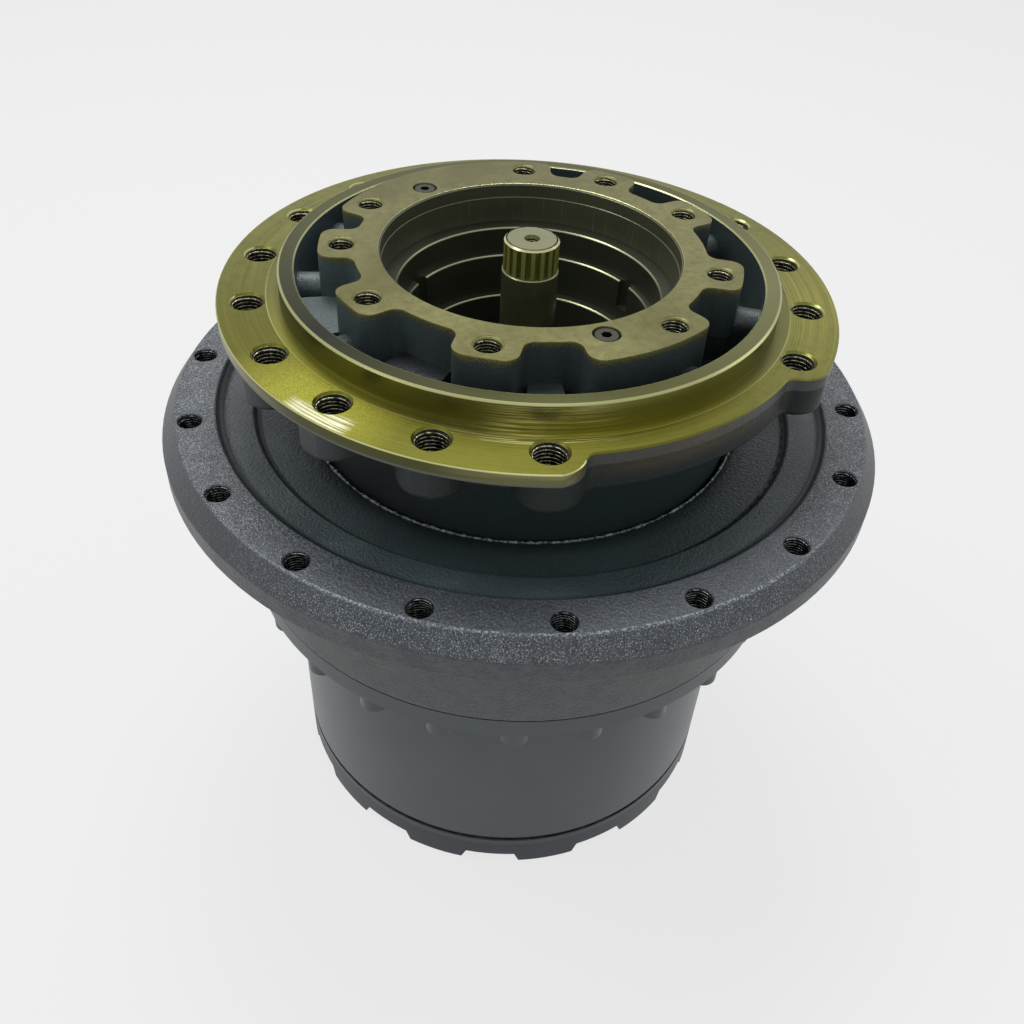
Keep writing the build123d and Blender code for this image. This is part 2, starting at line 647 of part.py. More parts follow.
def cover_gap():
    """The cutter of one gap between two lugs of the cover's rim, centred on +X, with sloped sides."""
    outlines = []
    for lug_half, height in ((LUG_BOTTOM_HALF, -1.0), (LUG_TOP_HALF, COVER_RIM_LOW)):
        half = 180.0 / LUGS - lug_half
        corners = [(r * cos(radians(s * half)), r * sin(radians(s * half)))
                   for r, s in ((LUG_INNER_R - 12, -1), (RING_R + 20, -1), (RING_R + 20, 1), (LUG_INNER_R - 12, 1))]
        outlines.append(Pos(0, 0, height) * make_face(Polyline(*corners, close=True)))
    return loft(outlines)


def cover():
    """The end cover: a dished plate with a rim of lugs, a spigot and three oil plug bosses."""
    solid = turned(
        (0, COVER_CENTRE_LOW), (COVER_DISH_R - 10, COVER_CENTRE_LOW, 4),
        (COVER_DISH_R - 2, COVER_RIM_LOW), (LUG_INNER_R - 6, COVER_RIM_LOW), (LUG_INNER_R, 0),
        (RING_R - 1.5, 0), (RING_R, 1.5),
        (RING_R, COVER_JOINT - JOINT_GROOVE), (RING_R - JOINT_GROOVE_DEPTH, COVER_JOINT - JOINT_GROOVE),
        (RING_R - JOINT_GROOVE_DEPTH, COVER_JOINT),
        (RING_BORE_R - SEAT_PLAY, COVER_JOINT), (RING_BORE_R - SEAT_PLAY, COVER_JOINT + SPIGOT),
        (COVER_SPIGOT_R, COVER_JOINT + SPIGOT), (COVER_SPIGOT_R - 4, COVER_FLOOR, 3), (0, COVER_FLOOR),
    )
    for gap in [Rot(0, 0, a) * cover_gap() for a in around(LUGS, LUG_PHASE + 180.0 / LUGS)]:
        solid -= gap
    plug_low = COVER_CENTRE_LOW - 4
    boss = turned((0, plug_low), (OIL_PLUG_HEAD_R + 4, plug_low), (OIL_PLUG_HEAD_R + 7, COVER_CENTRE_LOW + 1), (0, COVER_CENTRE_LOW + 1))
    for cast_boss in at_each(boss, OIL_PLUG_PCD_R, OIL_PLUG_ANGLES):
        solid += cast_boss
    centre = turned((0, plug_low), (44, plug_low), (50, COVER_CENTRE_LOW + 1), (0, COVER_CENTRE_LOW + 1))
    solid += centre
    sink = COVER_BOLT_HEAD + COVER_BOLT_SINK
    bolt_hole = rod(COVER_BOLT_HEAD_R + 1, -1, sink) + rod(COVER_BOLT_R + SEAT_PLAY, sink - 1, COVER_JOINT + 1)
    for cut in at_each(bolt_hole, COVER_PCD_R, around(LUGS, LUG_PHASE)):
        solid -= cut
    plug_hole = rod(OIL_PLUG_R + SEAT_PLAY, plug_low - 1, COVER_FLOOR + 1)
    for cut in at_each(plug_hole, OIL_PLUG_PCD_R, OIL_PLUG_ANGLES):
        solid -= cut
    solid -= oring_groove()
    return solid


def oring_groove():
    """The groove on the cover's spigot."""
    middle = COVER_JOINT + SPIGOT / 2
    half = ORING_R + RUN_PLAY
    return tube(RING_BORE_R + 1, RING_BORE_R - 2 * half, middle - half, middle + half)


def cover_oring():
    """The rubber ring in the cover's spigot groove."""
    return Pos(0, 0, COVER_JOINT + SPIGOT / 2) * Torus(RING_BORE_R - ORING_R - RUN_PLAY, ORING_R)


def cover_bolts():
    """The screws that hold the cover, sunk in its lugs."""
    screw = socket_screw(
        COVER_BOLT_R, COVER_JOINT - COVER_BOLT_HEAD - COVER_BOLT_SINK + COVER_BOLT_GRIP,
        COVER_BOLT_HEAD_R, COVER_BOLT_HEAD, COVER_BOLT_R - 0.2, COVER_BOLT_HEAD / 2,
    )
    return group(at_each(Pos(0, 0, COVER_BOLT_SINK) * screw, COVER_PCD_R, around(LUGS, LUG_PHASE)))


def oil_plugs():
    """The filler, level and drain plugs of the cover."""
    head_top = COVER_CENTRE_LOW - 4
    head_low = head_top - OIL_PLUG_HEAD
    plug = turned(
        (0, head_low), (OIL_PLUG_HEAD_R - 1, head_low), (OIL_PLUG_HEAD_R, head_low + 1),
        (OIL_PLUG_HEAD_R, head_top), (OIL_PLUG_R, head_top), (OIL_PLUG_R, COVER_FLOOR - 2), (0, COVER_FLOOR - 2),
    )
    plug -= Pos(0, 0, head_low) * extrude(RegularPolygon(OIL_PLUG_R * 0.7, 6), OIL_PLUG_HEAD + 4)
    return group(at_each(plug, OIL_PLUG_PCD_R, OIL_PLUG_ANGLES))


def thrust_button():
    """The wear pad on the cover that carries the first carrier and the shaft end."""
    return turned(
        (0, COVER_FLOOR), (BUTTON_R, COVER_FLOOR), (BUTTON_R, FIRST_LOW - 1), (BUTTON_R - 1, FIRST_LOW),
        (BUTTON_STUD_R, FIRST_LOW), (BUTTON_STUD_R, SHAFT_LOW - 1), (BUTTON_STUD_R - 1, SHAFT_LOW), (0, SHAFT_LOW),
    )


def planet_gear(teeth, low, width, bore_r, at):
    """A planet gear in mesh with the ring gear, at its place around the axis."""
    orbit_r = MODULE * (RING_TEETH - teeth) / 2
    wheel = gear(teeth, low, low + width, planet_phase(teeth, at))
    wheel -= turned(
        (0, low - 1), (bore_r + 2.5, low - 1), (bore_r, low + 1.5),
        (bore_r, low + width - 1.5), (bore_r + 2.5, low + width + 1), (0, low + width + 1),
    )
    return polar(orbit_r, at) * wheel


def carrier_blank(low, lower_plate, upper_low, high, orbit_r, tip_r, phase, lower_bore_r):
    """Two round plates joined by three pillars between the planets."""
    inside_low = low + lower_plate
    solid = rod(CARRIER_R, low, high, 2.0)
    window = rod(tip_r + WINDOW_GAP, inside_low, upper_low)
    for cut in at_each(window, orbit_r, around(PLANETS, phase)):
        solid -= cut
    solid -= rod(lower_bore_r, low - 1, upper_low)
    return solid


def pin_locks(orbit_r, pin_r, height, phase, play):
    """The radial pins that keep the planet pins in their carrier."""
    start_r = orbit_r + pin_r / 2
    lock = Pos(start_r, 0, height) * Rot(0, 90, 0) * rod(LOCK_R - play, 0, LOCK_TO_R - start_r)
    return [Rot(0, 0, a) * lock for a in around(PLANETS, phase)]


def first_carrier():
    """The carrier of the first stage, toothed inside for the second sun gear."""
    solid = carrier_blank(
        FIRST_LOW, FIRST_PLATE_LOW, FIRST_UPPER_LOW, FIRST_TOP, ORBIT_1_R,
        MODULE * PLANET_1_TEETH / 2 + ADDENDUM, PLANET_1_AT, MODULE * SUN_1_TEETH / 2 + ADDENDUM + SUN_GAP,
    )
    pitch_r = MODULE * SUN_2_TEETH / 2
    teeth = toothed_face(SUN_2_TEETH, pitch_r - DEDENDUM + 1, pitch_r + ADDENDUM + SPLINE_PLAY, SPLINE_PLAY / 2, second_sun_turn())
    solid -= Pos(0, 0, FIRST_UPPER_LOW - 1) * extrude(teeth, FIRST_PLATE_HIGH + 2)
    for cut in at_each(rod(PIN_1_R + SEAT_PLAY, FIRST_LOW - 1, FIRST_TOP + 1), ORBIT_1_R, around(PLANETS, PLANET_1_AT)):
        solid -= cut
    for cut in first_pin_locks(0.0):
        solid -= cut
    return solid


def second_sun_turn():
    """The turn of the second sun gear at rest."""
    return sun_phase(SUN_2_TEETH, PLANET_2_TEETH, PLANET_2_AT)


def first_pin_locks(play):
    """The lock pins in the upper plate of the first carrier."""
    return pin_locks(ORBIT_1_R, PIN_1_R, FIRST_TOP - FIRST_PLATE_HIGH / 2, PLANET_1_AT, play)


def second_pin_locks(play):
    """The lock pins in the upper plate of the second carrier."""
    return pin_locks(ORBIT_2_R, PIN_2_R, SPINDLE_LOW - SECOND_PLATE_HIGH / 2, PLANET_2_AT, play)


def second_carrier():
    """The fixed carrier of the second stage, with the splined neck that the spindle holds."""
    solid = carrier_blank(
        SECOND_LOW, SECOND_PLATE_LOW, SECOND_UPPER_LOW, SPINDLE_LOW, ORBIT_2_R,
        MODULE * PLANET_2_TEETH / 2 + ADDENDUM, PLANET_2_AT, MODULE * SUN_2_TEETH / 2 + ADDENDUM + SUN_GAP,
    )
    neck = spline_face(SPLINE_TEETH, SPLINE_TIP_R - SPLINE_PLAY, SPLINE_ROOT_R - SPLINE_PLAY, 0.0)
    solid += Pos(0, 0, SPINDLE_LOW - 1) * extrude(neck, SPLINE_LENGTH)
    solid -= rod(SECOND_UPPER_BORE_R, SECOND_UPPER_LOW - 1, SPINDLE_LOW + SPLINE_LENGTH)
    for cut in at_each(rod(PIN_2_R + SEAT_PLAY, SECOND_LOW - 1, SPINDLE_LOW - PIN_SHORT), ORBIT_2_R, around(PLANETS, PLANET_2_AT)):
        solid -= cut
    for cut in second_pin_locks(0.0):
        solid -= cut
    return solid


def planet_pins(radius, low, high, orbit_r, phase, locks):
    """The three pins of a carrier, drilled for their locks."""
    solids = at_each(rod(radius, low + PIN_SHORT, high - PIN_SHORT, 1.5), orbit_r, around(PLANETS, phase))
    return group([pin - lock for pin, lock in zip(solids, locks)])


def planet_rollers(pin_r, roller_r, low, width, orbit_r, phase):
    """The rollers between each planet gear and its pin."""
    roller = rod(roller_r, low + ROLLER_SHORT, low + width - ROLLER_SHORT)
    rollers = at_each(roller, pin_r + RUN_PLAY + roller_r, around(ROLLERS))
    return group(polar(orbit_r, a) * Rot(0, 0, a) * r for a in around(PLANETS, phase) for r in rollers)


def thrust_washers(pin_r, low, width, orbit_r, phase):
    """The washers on both sides of each planet gear."""
    lower = tube(WASHER_R, pin_r + FACE_PLAY, low - WASHER, low - FACE_PLAY)
    upper = tube(WASHER_R, pin_r + FACE_PLAY, low + width + FACE_PLAY, low + width + WASHER)
    return group(polar(orbit_r, a) * w for a in around(PLANETS, phase) for w in (lower, upper))


def second_sun_gear():
    """The sun gear of the second stage, driven by the first carrier and hollow for the shaft."""
    solid = gear(SUN_2_TEETH, FIRST_UPPER_LOW + 1, SUN_2_TOP, second_sun_turn())
    solid -= rod(SUN_2_BORE_R, FIRST_UPPER_LOW, SUN_2_TOP + 1)
    groove_r = MODULE * SUN_2_TEETH / 2
    solid -= tube(groove_r + 10, groove_r, FIRST_TOP, FIRST_TOP + SNAP_RING_R)
    return solid


def sun_snap_ring():
    """The open ring that keeps the second sun gear in the first carrier."""
    groove_r = MODULE * SUN_2_TEETH / 2
    ring = tube(groove_r + 7, groove_r + SEAT_PLAY, FIRST_TOP, FIRST_TOP + SNAP_RING_R - SEAT_PLAY)
    return ring - Pos(groove_r, 0, FIRST_TOP) * Box(20, 6, 10)


def input_shaft():
    """The input shaft: the first sun gear below, the motor spline on top and a threaded centre hole."""
    teeth_low = SHAFT_LOW + SHAFT_STUB
    teeth_high = FIRST_PLANET_LOW + PLANET_1_WIDTH
    spline_low = SHAFT_TOP - SHAFT_SPLINE
    solid = rod(SHAFT_BODY_R - 3, SHAFT_LOW, teeth_low + 1, 1.0)
    solid += gear(SUN_1_TEETH, teeth_low, teeth_high, sun_phase(SUN_1_TEETH, PLANET_1_TEETH, PLANET_1_AT))
    solid += turned(
        (0, teeth_high - 1), (SHAFT_BODY_R, teeth_high - 1), (SHAFT_BODY_R, spline_low - 0.6),
        (SHAFT_BODY_R - 0.6, spline_low), (0, spline_low),
    )
    spline = spline_face(SHAFT_SPLINE_TEETH, SHAFT_SPLINE_ROOT_R, SHAFT_SPLINE_R, 0.0)
    top = Pos(0, 0, spline_low - 1) * extrude(spline, SHAFT_SPLINE + 1)
    solid += top & rod(SHAFT_SPLINE_R, spline_low - 3, SHAFT_TOP, SHAFT_EDGE)
    sink = 2.1
    thread_low = SHAFT_TOP - sink - CENTRE_THREAD
    return solid - turned(
        (0, thread_low - 2.4), (CENTRE_THREAD_R, thread_low), (CENTRE_THREAD_R, SHAFT_TOP - sink),
        (CENTRE_THREAD_R + 1.2, SHAFT_TOP), (CENTRE_THREAD_R + 1.2, SHAFT_TOP + 1), (0, SHAFT_TOP + 1),
    )


def thrust_ring():
    """The bronze ring between the two carriers."""
    return tube(THRUST_RING_R, THRUST_RING_BORE_R, FIRST_TOP, SECOND_LOW)


def face_plugs():
    """The two socket plugs that close the oil galleries in the motor face."""
    plug = rod(PLUG_R, MOTOR_FACE - PLUG_DEPTH, MOTOR_FACE - 0.4, 0.8)
    plug -= Pos(0, 0, MOTOR_FACE - 6) * extrude(RegularPolygon(3.4, 6), 8)
    return group(at_each(plug, PLUG_PCD_R, PLUG_ANGLES))


def parts():
    """Every node of the gearbox by name."""
    nodes = {
        "spindle": spindle(),
        "face_plugs": face_plugs(),
        "hub": hub(),
        "bearing_nut": bearing_nut(),
        "nut_lock_pins": group(nut_pins(SEAT_PLAY)),
        "fixed_seal_ring": seal_ring(1),
        "fixed_seal_oring": seal_oring(1),
        "turning_seal_ring": seal_ring(-1),
        "turning_seal_oring": seal_oring(-1),
        "ring_gear": ring_gear(),
        "ring_gear_bolts": ring_gear_bolts(),
        "ring_gear_dowels": group(dowels(SEAT_PLAY)),
        "cover": cover(),
        "cover_bolts": cover_bolts(),
        "cover_oring": cover_oring(),
        "oil_plugs": oil_plugs(),
        "thrust_button": thrust_button(),
        "input_shaft": input_shaft(),
        "first_carrier": first_carrier(),
        "first_planet_pins": planet_pins(
            PIN_1_R, FIRST_LOW, FIRST_TOP, ORBIT_1_R, PLANET_1_AT, first_pin_locks(0.0)),
        "first_pin_locks": group(first_pin_locks(SEAT_PLAY)),
        "first_planet_rollers": planet_rollers(
            PIN_1_R, ROLLER_1_R, FIRST_PLANET_LOW, PLANET_1_WIDTH, ORBIT_1_R, PLANET_1_AT),
        "first_thrust_washers": thrust_washers(
            PIN_1_R, FIRST_PLANET_LOW, PLANET_1_WIDTH, ORBIT_1_R, PLANET_1_AT),
        "second_sun_gear": second_sun_gear(),
        "sun_snap_ring": sun_snap_ring(),
        "carrier_thrust_ring": thrust_ring(),
        "second_carrier": second_carrier(),
        "second_planet_pins": planet_pins(
            PIN_2_R, SECOND_LOW, SPINDLE_LOW - PIN_SHORT, ORBIT_2_R, PLANET_2_AT, second_pin_locks(0.0)),
        "second_pin_locks": group(second_pin_locks(SEAT_PLAY)),
        "second_planet_rollers": planet_rollers(
            PIN_2_R, ROLLER_2_R, SECOND_PLANET_LOW, PLANET_2_WIDTH, ORBIT_2_R, PLANET_2_AT),
        "second_thrust_washers": thrust_washers(
            PIN_2_R, SECOND_PLANET_LOW, PLANET_2_WIDTH, ORBIT_2_R, PLANET_2_AT),
    }
    for name, low in (("inboard", INBOARD_LOW), ("outboard", OUTBOARD_LOW)):
        nodes[f"{name}_bearing_inner"] = bearing_inner(low)
        nodes[f"{name}_bearing_outer"] = bearing_outer(low)
        nodes[f"{name}_bearing_balls"] = bearing_balls(low)
        nodes[f"{name}_bearing_cage"] = bearing_cage(low)
    bore_1_r = PIN_1_R + 2 * (ROLLER_1_R + RUN_PLAY)
    bore_2_r = PIN_2_R + 2 * (ROLLER_2_R + RUN_PLAY)
    for k in range(PLANETS):
        first_at = PLANET_1_AT + 360.0 * k / PLANETS
        second_at = PLANET_2_AT + 360.0 * k / PLANETS
        nodes[f"first_planet_{k + 1}"] = planet_gear(
            PLANET_1_TEETH, FIRST_PLANET_LOW, PLANET_1_WIDTH, bore_1_r, first_at)
        nodes[f"second_planet_{k + 1}"] = planet_gear(
            PLANET_2_TEETH, SECOND_PLANET_LOW, PLANET_2_WIDTH, bore_2_r, second_at)
    return nodes


os.makedirs("parts", exist_ok=True)
for node, shape in parts().items():
    export_step(shape, f"parts/{node}.step")
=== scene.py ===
from math import cos, pi, radians, sin, tau

import bmesh
import bpy
from mathutils import Matrix, Vector, noise as cloud_noise


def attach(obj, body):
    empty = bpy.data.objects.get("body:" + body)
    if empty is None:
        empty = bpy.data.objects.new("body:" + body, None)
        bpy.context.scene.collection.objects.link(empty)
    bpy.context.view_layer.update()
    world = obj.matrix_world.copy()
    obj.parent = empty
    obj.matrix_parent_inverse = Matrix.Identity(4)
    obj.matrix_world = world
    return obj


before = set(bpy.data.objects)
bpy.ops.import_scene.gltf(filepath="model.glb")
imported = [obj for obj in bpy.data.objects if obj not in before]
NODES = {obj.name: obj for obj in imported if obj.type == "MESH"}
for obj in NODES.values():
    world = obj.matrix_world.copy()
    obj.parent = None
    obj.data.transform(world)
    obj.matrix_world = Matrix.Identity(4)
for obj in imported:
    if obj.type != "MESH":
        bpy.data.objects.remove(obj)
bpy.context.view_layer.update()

# Places and sizes of the gearbox, in metres, with +Z along its axis.
FRAME_FACE = 0.429
FRAME_RIM_LOW = 0.4204
FRAME_LOW = 0.401
PILOT_BORE_R = 0.1521
CAVITY_FLOOR = 0.402
MOTOR_FACE = 0.454
BORE_LEDGES = [(0.0870, 0.4243), (0.0820, 0.4053), (0.0752, 0.3763)]
SHAFT_TOP = 0.460
SHAFT_END_R = 0.0168
HUB_TOP = 0.349
HUB_UNDER = 0.3195
FRAME_PCD_R = 0.1826
FRAME_HOLES = [a for a in range(0, 360, 20) if a not in (260, 280)]
MOTOR_PCD_R = 0.122
MOTOR_HOLES = [90 + a for a in (31.0, 60.0, 93.7, 134.9, -31.0, -60.0, -93.7, -134.9, -170.0)]
SPROCKET_PCD_R = 0.230
SPROCKET_HOLES = [2.5 + 20 * k for k in range(18)]

# Threads as radius of the hole, radius of the crests and pitch.
M20 = 0.0100, 0.00865, 0.0025
M16 = 0.0080, 0.0069, 0.0020
M8 = 0.0040, 0.0033, 0.00125

# The photograph's camera.
CAMERA_PLACE = -0.3495, -0.4938, 0.7577
CAMERA_WAY = 0.4315, 0.6140, -0.6609
CAMERA_ROLL = 3.55
LENS = 35.6


def add(tree, kind, sockets=None, out=0, **settings):
    """A node with its settings and sockets filled in, as the socket that leaves it."""
    node = tree.nodes.new(kind)
    for key, value in settings.items():
        setattr(node, key, value)
    for key, value in (sockets or {}).items():
        if isinstance(value, bpy.types.NodeSocket):
            tree.links.new(value, node.inputs[key])
        else:
            node.inputs[key].default_value = value
    return node.outputs[out]


def calc(tree, operation, a, b=0.0, c=0.0):
    """One step of arithmetic on sockets or numbers."""
    return add(tree, "ShaderNodeMath", {0: a, 1: b, 2: c}, operation=operation)


def step_between(tree, value, low, high):
    """0 below low, 1 above high and even in between; reversed when low is over high."""
    return add(tree, "ShaderNodeMapRange", {"Value": value, "From Min": low, "From Max": high}, clamp=True)


def all_of(tree, *masks):
    """Where every mask is 1."""
    result = masks[0]
    for mask in masks[1:]:
        result = calc(tree, "MULTIPLY", result, mask)
    return result


def any_of(tree, *masks):
    """Where at least one mask is 1."""
    result = masks[0]
    for mask in masks[1:]:
        result = calc(tree, "MAXIMUM", result, mask)
    return result


def part_of(tree, mask, share):
    """A mask made weaker to this share."""
    return calc(tree, "MULTIPLY", mask, share)


def other(tree, mask):
    """Where a mask is 0."""
    return calc(tree, "SUBTRACT", 1.0, mask)


def band(tree, value, low, high, soft=0.0002):
    """1 between low and high, with soft ends."""
    return all_of(tree, step_between(tree, value, low - soft, low + soft),
                  step_between(tree, value, high + soft, high - soft))


def blend(tree, mask, first, second):
    """The first colour where the mask is 0 and the second where it is 1."""
    return add(tree, "ShaderNodeMix", {0: mask, 6: first, 7: second}, out=2, data_type="RGBA")


def blend_number(tree, mask, first, second):
    """The first number where the mask is 0 and the second where it is 1."""
    return add(tree, "ShaderNodeMix", {0: mask, 2: first, 3: second}, out=0, data_type="FLOAT")


def tone(r, g, b):
    """A colour in a colour chart's steps of 0 to 255, as the light it gives back."""
    shares = [c / 255 for c in (r, g, b)]
    return tuple(((s + 0.055) / 1.055) ** 2.4 if s > 0.0405 else s / 12.92 for s in shares) + (1.0,)


PALE = tone(239, 239, 239)


class Place:
    """The point on the object as sockets: x, y, z, its distance and direction from the axis, and up."""

    def __init__(self, tree):
        self.tree = tree
        self.point = add(tree, "ShaderNodeTexCoord", out=3)
        parts = tree.nodes.new("ShaderNodeSeparateXYZ")
        tree.links.new(self.point, parts.inputs[0])
        self.x, self.y, self.z = parts.outputs
        across = calc(tree, "MULTIPLY", self.x, self.x)
        along = calc(tree, "MULTIPLY", self.y, self.y)
        self.radius = calc(tree, "SQRT", calc(tree, "ADD", across, along))
        self.turn = calc(tree, "ARCTAN2", self.y, self.x)
        normal = tree.nodes.new("ShaderNodeSeparateXYZ")
        tree.links.new(add(tree, "ShaderNodeNewGeometry", out=1), normal.inputs[0])
        self.up = normal.outputs[2]
        self.flat = step_between(tree, self.up, 0.90, 0.97)

    def rise(self, low, high):
        """0 below one height and 1 above the other; reversed when low is over high."""
        return step_between(self.tree, self.z, low, high)

    def tier(self, low, high, soft=0.0002):
        """1 between two heights."""
        return band(self.tree, self.z, low, high, soft)

    def reach(self, near, far):
        """0 nearer to the axis than one radius and 1 beyond the other; reversed when near is over far."""
        return step_between(self.tree, self.radius, near, far)

    def ring(self, near, far, soft=0.0002):
        """1 between two radii."""
        return band(self.tree, self.radius, near, far, soft)

    def cloud(self, size, detail=2.0, roughness=0.5):
        """Cloudy noise from 0 to 1 whose patches are about this size in metres."""
        return add(self.tree, "ShaderNodeTexNoise", {"Vector": self.point, "Scale": 1.0 / size,
                                                     "Detail": detail, "Roughness": roughness})

    def specks(self, size, edge, soft=0.05):
        """Specks of this size, where fine noise goes over an edge."""
        return step_between(self.tree, self.cloud(size, 1.0), edge - soft, edge + soft)

    def arcs(self, pitch, per_turn, detail=2.0):
        """Noise along the tool's path round the axis: fine across, and this many patches round one turn."""
        tree = self.tree
        across = calc(tree, "ADD", self.radius, self.z)
        reach = pitch * per_turn / tau
        east = calc(tree, "MULTIPLY", calc(tree, "DIVIDE", self.x, self.radius), reach)
        north = calc(tree, "MULTIPLY", calc(tree, "DIVIDE", self.y, self.radius), reach)
        path = add(tree, "ShaderNodeCombineXYZ", {"X": across, "Y": east, "Z": north})
        return add(tree, "ShaderNodeTexNoise", {"Vector": path, "Scale": 1.0 / pitch, "Detail": detail})

    def uprights(self, pitch, length):
        """Noise in upright scratches on a round wall."""
        tree = self.tree
        low = calc(tree, "MULTIPLY", self.z, pitch / length)
        path = add(tree, "ShaderNodeCombineXYZ", {"X": self.x, "Y": self.y, "Z": low})
        return add(tree, "ShaderNodeTexNoise", {"Vector": path, "Scale": 1.0 / pitch, "Detail": 2.0})

    def toward(self, degrees, reach):
        """1 in one direction from the axis, fading to 0 this many degrees to either side."""
        tree = self.tree
        gap = calc(tree, "WRAP", calc(tree, "SUBTRACT", self.turn, radians(degrees)), pi, -pi)
        return step_between(tree, calc(tree, "ABSOLUTE", gap), radians(reach), 0.0)


def start(name):
    """A new material with its tree, its shader and the place on the object."""
    material = bpy.data.materials.new(name)
    material.use_nodes = True
    tree = material.node_tree
    return material, tree, tree.nodes["Principled BSDF"], Place(tree)


def join(tree, shader, **sockets):
    """Sets or links the shader's sockets by name, with _ for a space."""
    for key, value in sockets.items():
        socket = shader.inputs[key.replace("_", " ")]
        if isinstance(value, bpy.types.NodeSocket):
            tree.links.new(value, socket)
        else:
            socket.default_value = value


def bump(tree, height, depth, strength=1.0, under=None):
    """A bump of a depth in metres from a height of 0 to 1."""
    sockets = {"Height": height, "Distance": depth, "Strength": strength}
    if under is not None:
        sockets["Normal"] = under
    return add(tree, "ShaderNodeBump", sockets)


class Layers:
    """Colour, roughness and metal of a surface, laid on one after the other through masks."""

    def __init__(self, tree, colour, roughness, metal):
        self.tree = tree
        self.colour = colour
        self.roughness = roughness
        self.metal = metal

    def lay(self, mask, colour=None, roughness=None, metal=None):
        if colour is not None:
            self.colour = blend(self.tree, mask, self.colour, colour)
        if roughness is not None:
            self.roughness = blend_number(self.tree, mask, self.roughness, roughness)
        if metal is not None:
            self.metal = blend_number(self.tree, mask, self.metal, metal)


